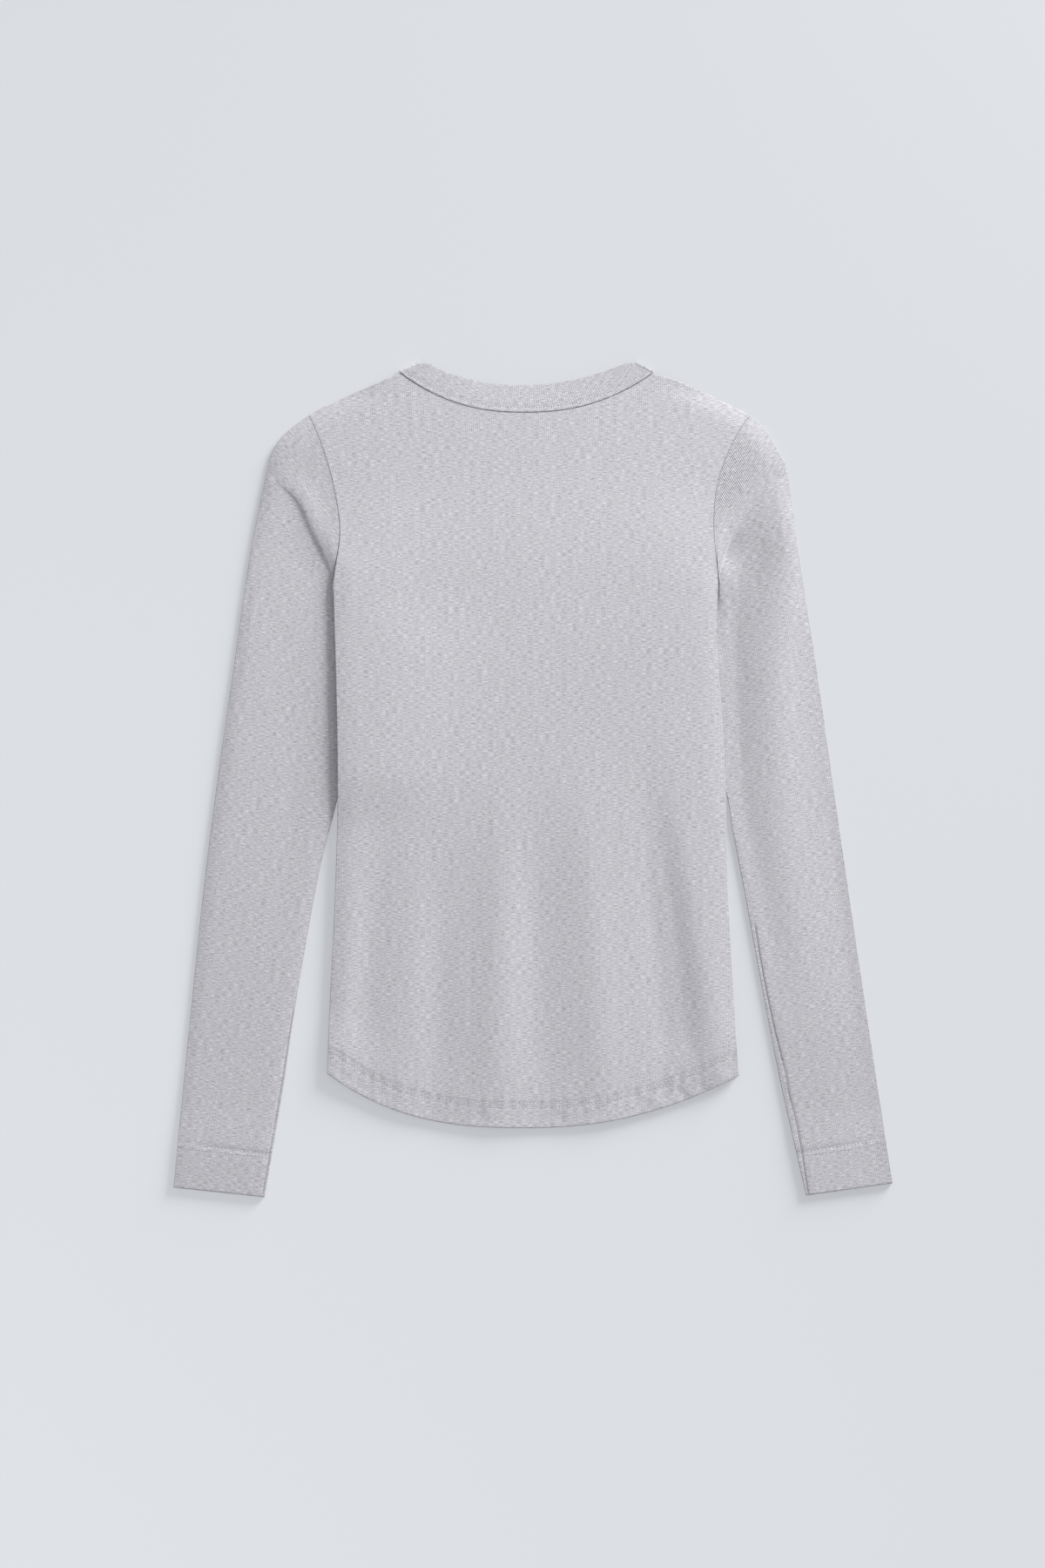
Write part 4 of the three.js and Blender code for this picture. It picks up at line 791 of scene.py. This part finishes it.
def sleeveShape(side, q, ring, outer, inner, s, fromOuter, fromInner):
    # x and y lie on lines from the outer to the inner edge, bent like the armhole and the crease. The upper
    # ply's height is two plies, plus the air of the cap or of the arm, less the crease, plus the soft folds.
    size, row = sleeveSize, q[:, None]
    p = outer[:, None] + (inner - outer)[:, None] * s[..., None]
    p = p + bow(armholeCurve[side], s) * ring["armhole"][:, None, None]
    p = p + bow(creaseCurve[side], s) * ring["crease"][:, None, None]
    x, y = p[..., 0], p[..., 1]
    raised = ring["cuff"][:, None]
    edgeTop = 2 * (cloth["wall"] + cloth["turned"] * raised) + cloth["gap"]
    armpitX, armpitY = armhole[side]["x"][-1], armhole[side]["y"][-1]
    fromArmpit = np.hypot(x - armpitX, y - armpitY)
    margin = tuck["edgeMargin"] * smooth(*tuck["marginZone"], fromArmpit)
    beyond = outward[side] * (x - edgeX(sideCurve[side], y)) - margin
    below = (y < armpitY) & (row > size["capEnd"]["edge"])
    fromInner = np.where(below, np.minimum(fromInner, np.maximum(beyond, 0)), fromInner)
    fromCrease, fromTrough = (distanceTo([curves[side]], x, y) for curves in (creaseCurve, troughCurve))
    grown = smooth(*size["creaseGrow"][side], s)
    grown = grown * (1 - size["creaseFade"][side] * smooth(size["fadeFrom"], 1, s))
    capDip, armDip = (grown * depth * np.exp(-(fromTrough / width) ** 2) for depth, width in
                      zip(size["creaseDepth"][side], size["creaseWidth"][side]))
    capPuff = puffed(fromOuter, air["capOuterEdge"]), puffed(fromInner, air["capInnerEdge"])
    capHeight = air["cap"] * capPuff[0] * capPuff[1] * (1 - capDip)
    ridge = np.exp(-((fromTrough - size["ridgeAt"]) / size["ridgeWidth"]) ** 2)
    ridge = ridge * smooth(*size["ridgeZone"], fromOuter) * (row < size["capEnd"]["ridge"])
    capHeight = capHeight + size["capRidge"][side] * ridge
    atSeam = backTop(x[:1], y[:1]) - edgeTop[:1] - size["sink"]
    toSeam = np.exp(-(distanceTo([armholeCurve[side]], x, y) / size["levelReach"]) ** 2)
    toSeam = toSeam * smooth(*size["levelZone"], fromCrease)
    capHeight = capHeight + (atSeam - capHeight[:1]) * toSeam
    armPuff = puffed(fromOuter, air["outerEdge"]) * puffed(fromInner, air["innerEdge"])
    rise = np.clip((ring["outer"][:, None] - size["armStart"]) / size["riseRun"][side], 0, 1)
    armHeight = air["cap"] + (air["sleeve"] - air["cap"]) * smooth(size["riseFrom"], 1, rise)
    armHeight = armHeight * (1 - armDip) * (1 + (air["cuff"] / air["sleeve"] - 1) * raised)
    for fold in sleeveFolds[side]:
        line = curveThrough(fold, 6)
        height = np.interp(y, fold["y"][::-1], fold["height"][::-1])
        armHeight = armHeight + height * np.exp(-(distanceTo([line], x, y) / fold["width"]) ** 2)
    armHeight = np.maximum(armHeight, 0) * armPuff
    height = capHeight + (armHeight - capHeight) * smooth(*size["capEnd"]["height"], row)
    # Beside the armpit the sleeve stays level with the back that it is sewn to.
    pull = size["armpitPull"][side] * np.exp(-(fromArmpit / size["pullReach"]) ** 2)
    pull = pull * puffed(fromInner, size["pullEdge"] + size["pullSpread"] * fromArmpit) * (row > 0.5)
    z = edgeTop + height + (atSeam[0, -2] - height) * pull
    return x, y, z, edgeTop


def ringRound(upper, lower):  # once round the flat tube: out along the upper ply and back along the lower one
    return np.concatenate((upper, lower[:, ::-1][:, 1:-1]), 1)


def ribsTurned(points, angle):  # across the ribs and along them, in metres, for ribs at this angle
    c, s = cos(radians(angle)), sin(radians(angle))
    x, y = points[:, 0], points[:, 1]
    return np.stack((x * c - y * s, x * s + y * c), -1) / 1000


def paintSleeveShade(side, x, y, distances):  # the darkest painted shade of the turned edges, and the right sleeve's painted shade
    edge = np.max([paintedTurnShade[side][k] * rolled(distance, knit["edgeWidth"])
                   for k, distance in distances.items()], axis=0)
    if side == "left":
        return edge
    shade = np.interp(y, paintedSleeveShade["y"], paintedSleeveShade["tone"])
    for hx, hy, tone, reach in zip(*(paintedSleeveShade["hollow" + k] for k in ("X", "Y", "Tone", "Width"))):
        shade = shade + tone * np.exp(-((x - hx) ** 2 + (y - hy) ** 2) / reach ** 2)
    shade = shade + paintedSleeveShade["paintedEdgeShade"] * smooth(*paintedSleeveShade["edgeReach"], distances["outer"])
    return edge + (1 - edge) * shade


def makeSleeve(side):
    size = sleeveSize
    q, ring, full = sleeveRings(side)
    outer = along(outerCurve[side], ring["outer"] / full["outer"])
    inner = along(innerCurve[side], ring["inner"] / full["inner"])
    width = np.linalg.norm(inner - outer, axis=1)[:, None]
    near, far = np.array(size["outerSteps"]), np.array(size["innerSteps"])[::-1]
    t = np.linspace(0, 1, size["middleColumns"] + 2)[1:-1]
    between = (near[-1] + (width - near[-1] - far[0]) * t) / width
    s = np.concatenate((near / width, between, 1 - far / width), 1)
    fromOuter, fromInner = s * width, (1 - s) * width
    x, y, z, edgeTop = sleeveShape(side, q, ring, outer, inner, s, fromOuter, fromInner)
    fromCuff = (full["outer"] - ring["outer"])[:, None] * (1 - s)
    fromCuff = fromCuff + (full["inner"] - ring["inner"])[:, None] * s
    fromUnderarm = distanceTo([curveThrough(underarmSeam[side], 6)], x, y)
    fromSeam, fromEdge = distanceTo([armholeCurve[side]], x, y), np.minimum(fromOuter, fromInner)
    grooves = stitched(fromCuff, size["stitchRows"], size["stitchSink"])
    z = z + grooves - size["seamGroove"] * np.exp(-(fromUnderarm / size["grooveWidth"]) ** 2)
    mid, onSeam = edgeTop / 2, q[:, None] < 1
    cuffRim = size["cuffRim"] * rolled(fromCuff, size["cuffRoll"])
    rim = np.maximum(rolled(fromEdge, size["rollWidth"]), cuffRim)
    top = z - (z - mid) * rim - size["seamDrop"] * rolled(fromSeam, size["rollWidth"]) * onSeam
    low = mid * rim - grooves
    cuffGrid[side] = np.stack((x, y, top), -1)[q > size["cuffGridRing"]].reshape(-1, 3)

    # The inner faces are a wall inside the outer ones, and meet half way up at both edges.
    wall = (cloth["wall"] + cloth["turned"] * smooth(*size["turnZone"], q))[:, None]
    inset = np.clip(fromEdge / size["insetWidth"], 0, 1)
    topIn = np.maximum(top - wall, mid + cloth["clear"]) * inset + mid * (1 - inset)
    lowIn = np.minimum(low + wall, mid - cloth["clear"]) * inset + mid * (1 - inset)
    xIn = x + outward[side] * np.where(fromOuter < fromInner, -1, 1) * (1 - inset) * size["inset"]
    outside = ringRound(np.stack((x, y, top), -1), np.stack((x, y, low), -1))
    inside = ringRound(np.stack((xIn, y, topIn), -1), np.stack((xIn, y, lowIn), -1))
    rows, columns = outside.shape[:2]
    points = np.concatenate((outside, inside[::-1])).reshape(-1, 3)
    faces = loopFaces(2 * rows, columns)
    if side == "right":
        faces = faces[:, ::-1]

    faceRow = faces.min(axis=1) // columns
    faceRow = np.where(faceRow >= rows, 2 * rows - 2 - faceRow, faceRow)
    onCap = q[np.clip(faceRow, 0, rows - 1)] < size["capEnd"]["knit"]
    armUv, capUv = (ribsTurned(points, size[part][side])[faces] for part in ("armRib", "capRib"))
    uv = np.where(onCap[:, None, None], capUv, armUv)
    # painted shade on the sleeve's turned edges and along the right sleeve
    edge = paintSleeveShade(side, x, y, {"outer": fromOuter, "armhole": np.where(onSeam, fromSeam, 99),
                                   "inner": fromInner, "cuff": fromCuff, "underarm": 0.6 * fromUnderarm})
    opened = smooth(*size["capRibZone"], distanceTo([creaseCurve[side]], x, y))
    opened = opened * smooth(*size["capRibEdge"], fromOuter) * (q[:, None] < size["capEnd"]["knit"])
    ribs = 1 + (size["capRibs"][side] - 1) * opened
    edge, ribs = (ringRound(value, value) for value in (edge, ribs))
    edge, ribs = (np.concatenate((value, value[::-1])) for value in (edge, ribs))
    name = "sleeveLeftCloth" if side == "left" else "sleeveRightCloth"
    return makePiece(name, points, faces, uv, edge, sleeveKnit, "sleeve_" + side, ribs)


cuffGrid = {}  # the top of each sleeve, for its stitches
sleeveCloth = {side: makeSleeve(side) for side in outward}

# neckband
band = {
    "pitch": 1.9, "columnsPerRib": 6, "ribs": 122, "ribRelief": 0.02, "opened": 0.6,
    # the folds of the band get painted shade, this dark at each side
    "foldSteps": 10, "frontColumns": 420, "paintedFoldShade": {"right": 0.62, "left": 0.05},
    "height": 23, "stitchAt": 4.4, "stitchSink": 0.13, "stitchReach": 0.8, "stitchStation": 7,
    "proud": -0.3, "cornerRound": 4.5,
    # once round the band's section: share of its width from the seam, share of half its wall
    "share": [0, 0, 0.008, 0.03, 0.08, 0.14, 0.165, 0.19, 0.215, 0.25, 0.4, 0.6, 0.75, 0.88, 0.965, 0.99, 1,
              1, 0.99, 0.965, 0.88, 0.7, 0.5, 0.3, 0.12, 0.03],
    "side": [-0.6, 0.6, 0.9, 1, 1, 1, 1, 1, 1, 1, 1, 1, 1, 1, 1, 0.95, 0.7,
             -0.7, -0.95, -1, -1, -1, -1, -1, -1, -0.8],
}


def makeBand():
    # A section carried round: along the back, over the right fold, along the front, over the left fold.
    # Its ribs are a cosine of the run, and it is drawn in by a rounded corner beside each fold.
    half = neck["wall"] / 2
    upper = float(backTop(np.array([neck["left"]["seamX"]]), np.array([neck["left"]["seamY"]]))[0])
    upper = upper - cloth["wall"] / 2 + band["proud"]
    radius = (upper - half) / 2
    backShare = np.linspace(0, 1, band["ribs"] * band["columnsPerRib"] + 1)
    frontShare = np.linspace(1, 0, band["frontColumns"])
    turns = np.radians(np.linspace(90, -90, band["foldSteps"] + 2)[1:-1])
    lows, highs, normals, cornerRuns = [], [], [], []  # the seam, the free edge, and the cloth's outward way

    def arc(layer, share, z, sag, up):
        free = neckLine(layer, share, "edge")
        lows.append(np.column_stack((neckLine(layer, share), np.full(len(share), z))))
        highs.append(np.column_stack((free, z - sag * np.sin(pi * share))))
        normals.append(np.tile([0, 0, up], (len(share), 1)))
        cornerRuns.append(np.linalg.norm(free - neckLine(layer, np.round(share), "edge"), axis=1))

    def fold(side, angles):
        f = neck[side]
        seam, free = np.array([f["seamX"], f["seamY"]]), np.array([f["edgeX"], f["edgeY"]])
        axis = (free - seam) / np.linalg.norm(free - seam)
        away = np.array([-axis[1], axis[0]]) * np.sign(axis[0])
        shift, z = radius * np.cos(angles)[:, None] * away, half + radius + radius * np.sin(angles)
        lows.append(np.column_stack((seam + shift, z)))
        highs.append(np.column_stack((free + shift, z)))
        normals.append(np.column_stack((np.cos(angles)[:, None] * away, np.sin(angles))))
        cornerRuns.append(np.zeros(len(angles)))

    arc("back", backShare, upper, neck["edgeSag"], 1.0)
    fold("right", turns)
    arc("front", frontShare, half, 0, -1.0)
    fold("left", turns[::-1])
    low, high, normal = (np.vstack(parts) for parts in (lows, highs, normals))
    toFold = np.concatenate(cornerRuns)
    shrink = band["cornerRound"] * rolled(toFold, band["cornerRound"])
    high = high - (high - low) * (shrink / np.linalg.norm(high - low, axis=1))[:, None]
    run = np.append(0, np.cumsum(np.linalg.norm(np.diff((low + high) / 2, axis=0), axis=1)))
    share, side = np.array(band["share"]), np.array(band["side"])
    ribs = np.cos(2 * pi * run / band["pitch"])[:, None] * band["ribRelief"]
    onWidth = smooth(0.0, 0.05, share) * smooth(1.0, 0.9, share)
    groove = np.exp(-((share * band["height"] - band["stitchAt"]) / band["stitchReach"]) ** 2)
    stitch = -band["stitchSink"] * groove * (side > 0)
    lift = side * half + (ribs * onWidth + stitch) * np.sign(side)
    points = low[:, None] + (high - low)[:, None] * share[:, None] + normal[:, None] * lift[..., None]
    bandLine.update(path=points[:, band["stitchStation"]], normal=normal)
    faces = loopFaces(*points.shape[:2])
    width = np.linalg.norm(high - low, axis=1)[:, None]
    uv = np.stack((run[:, None] + 0 * share, share * width), -1).reshape(-1, 2) / 1000
    corner = uv[faces]
    corner[-len(share):, 2:, 0] += (run[-1] + band["pitch"]) / 1000
    # painted shade over the band's folds, strong at the right one, and on its turned edges
    tone = np.where(low[:, 0] > 0, band["paintedFoldShade"]["right"], band["paintedFoldShade"]["left"]) * (toFold == 0)
    edge = np.maximum(rolled(np.minimum(share, 1 - share) * width, knit["edgeWidth"]), tone[:, None])
    return makePiece("neckbandCloth", points.reshape(-1, 3), faces[:, ::-1], corner[:, ::-1], edge, bandKnit,
                     "neckband", band["opened"])


bandLine = {}  # the row of neck stitches, with the way that the cloth faces there
neckbandCloth = makeBand()

# sewing threads
thread = {
    "radius": 0.2, "long": 2.6, "gap": 0.5, "proud": 0.08, "dip": 0.34, "stations": 5, "sides": 6,
    "lowest": 0.02, "under": 0.3, "fromSide": 1.2, "cuffSpan": (0.03, 0.97), "cuffPoints": 60, "nearby": 0.9,
}


def threadPiece(name, rows):
    # Each stitch is a capsule, radius * sqrt(1 - 0.97 u^6) for u from -1 to 1, its ends bent in by dip * u^4.
    t = thread
    u, angle = np.linspace(-1, 1, t["stations"]), 2 * pi * np.arange(t["sides"]) / t["sides"]
    perStitch = t["stations"] * t["sides"]
    ends = np.array([[0, 1, 2, 3], [0, 3, 4, 5]])
    one = np.vstack((gridFaces(t["stations"], t["sides"], closed=True, flip=True), ends,
                     ends[:, ::-1] + perStitch - t["sides"]))
    allPoints, allUv = [], []
    for path, normal in rows:
        normal = np.broadcast_to(normal, path.shape)
        run = np.append(0, np.cumsum(np.linalg.norm(np.diff(path, axis=0), axis=1)))
        count = int(run[-1] // (t["long"] + t["gap"]))
        s = (np.arange(count)[:, None] + 0.5) * run[-1] / count + u * t["long"] / 2
        centre, up, ahead = (np.stack([np.interp(s, run, values[:, k]) for k in range(3)], -1)
                             for values in (path, normal, np.gradient(path, run, axis=0)))
        ahead = ahead / np.linalg.norm(ahead, axis=-1, keepdims=True)
        across = np.cross(ahead, up)
        centre = centre + up * (t["proud"] - t["dip"] * u ** 4)[:, None]
        ring = (np.cos(angle)[:, None] * across[..., None, :] + np.sin(angle)[:, None] * up[..., None, :])
        radius = t["radius"] * np.sqrt(1 - 0.97 * u ** 6)
        points = centre[..., None, :] + radius[:, None, None] * ring
        points[..., 2] = np.maximum(points[..., 2], t["lowest"])  # pressed flat where the tee rests on them
        allPoints.append(points.reshape(-1, 3))
        uv = np.stack((angle * t["radius"] + 0 * s[..., None], s[..., None] + 0 * angle), -1)
        allUv.append(uv.reshape(-1, 2))
    points, uv = np.vstack(allPoints), np.vstack(allUv) / 1000
    faces = (one[None] + np.arange(len(points) // perStitch)[:, None, None] * perStitch).reshape(-1, 4)
    return makePiece(name, points, faces, uv[faces], 0.0, threadMaterial, None)


def hemRow(distance):  # a line this far above the hem's edge, from side to side
    xy = hemCurve[0]
    slope = np.gradient(xy, axis=0)
    slope = slope / np.linalg.norm(slope, axis=1, keepdims=True)
    xy = xy + distance * np.column_stack((-slope[:, 1], slope[:, 0]))
    left, right = (edgeX(sideCurve[side], xy[:, 1]) - outward[side] * thread["fromSide"] for side in outward)
    return xy[(xy[:, 0] > left) & (xy[:, 0] < right)]


def cuffRow(side, distance):  # straight across the sleeve, this far above the cuff's edge
    ends = [along(curve[side], 1 - distance / curve[side][1][-1]) for curve in (outerCurve, innerCurve)]
    return ends[0] + (ends[1] - ends[0]) * np.linspace(*thread["cuffSpan"], thread["cuffPoints"])[:, None]


def cuffTop(side, xy):  # height of the sleeve's top, weighted from the points of its grid nearby
    near = np.linalg.norm(xy[:, None] - cuffGrid[side][None, :, :2], axis=-1)
    weight = np.exp(-(near / thread["nearby"]) ** 2) + 1e-12
    return (weight * cuffGrid[side][:, 2]).sum(axis=1) / weight.sum(axis=1)


def rowsAbove(lines, heightAt):  # the lines at the height of the cloth's outer face, facing up
    return [(np.column_stack((xy, heightAt(xy))), np.array([0.0, 0, 1])) for xy in lines]


def rowsBelow(lines):  # the same lines on the underside, facing down
    return [(np.column_stack((xy, thread["under"] + 0 * xy[:, 0])), np.array([0.0, 0, -1])) for xy in lines]


hemLines = [hemRow(distance) for distance in bodyPanel["stitchRows"]]
backThreads = threadPiece("backHemStitches", rowsAbove(hemLines, lambda xy: backSurface(*xy.T)))
frontThreads = threadPiece("frontHemStitches", rowsBelow(hemLines))
for side in outward:
    lines = [cuffRow(side, distance) for distance in sleeveSize["stitchRows"]]
    rows = rowsAbove(lines, lambda xy: cuffTop(side, xy)) + rowsBelow(lines)
    threadPiece(side + "CuffStitches", rows)
neckThreads = threadPiece("neckStitches", [(bandLine["path"], bandLine["normal"])])

print("all pieces made")
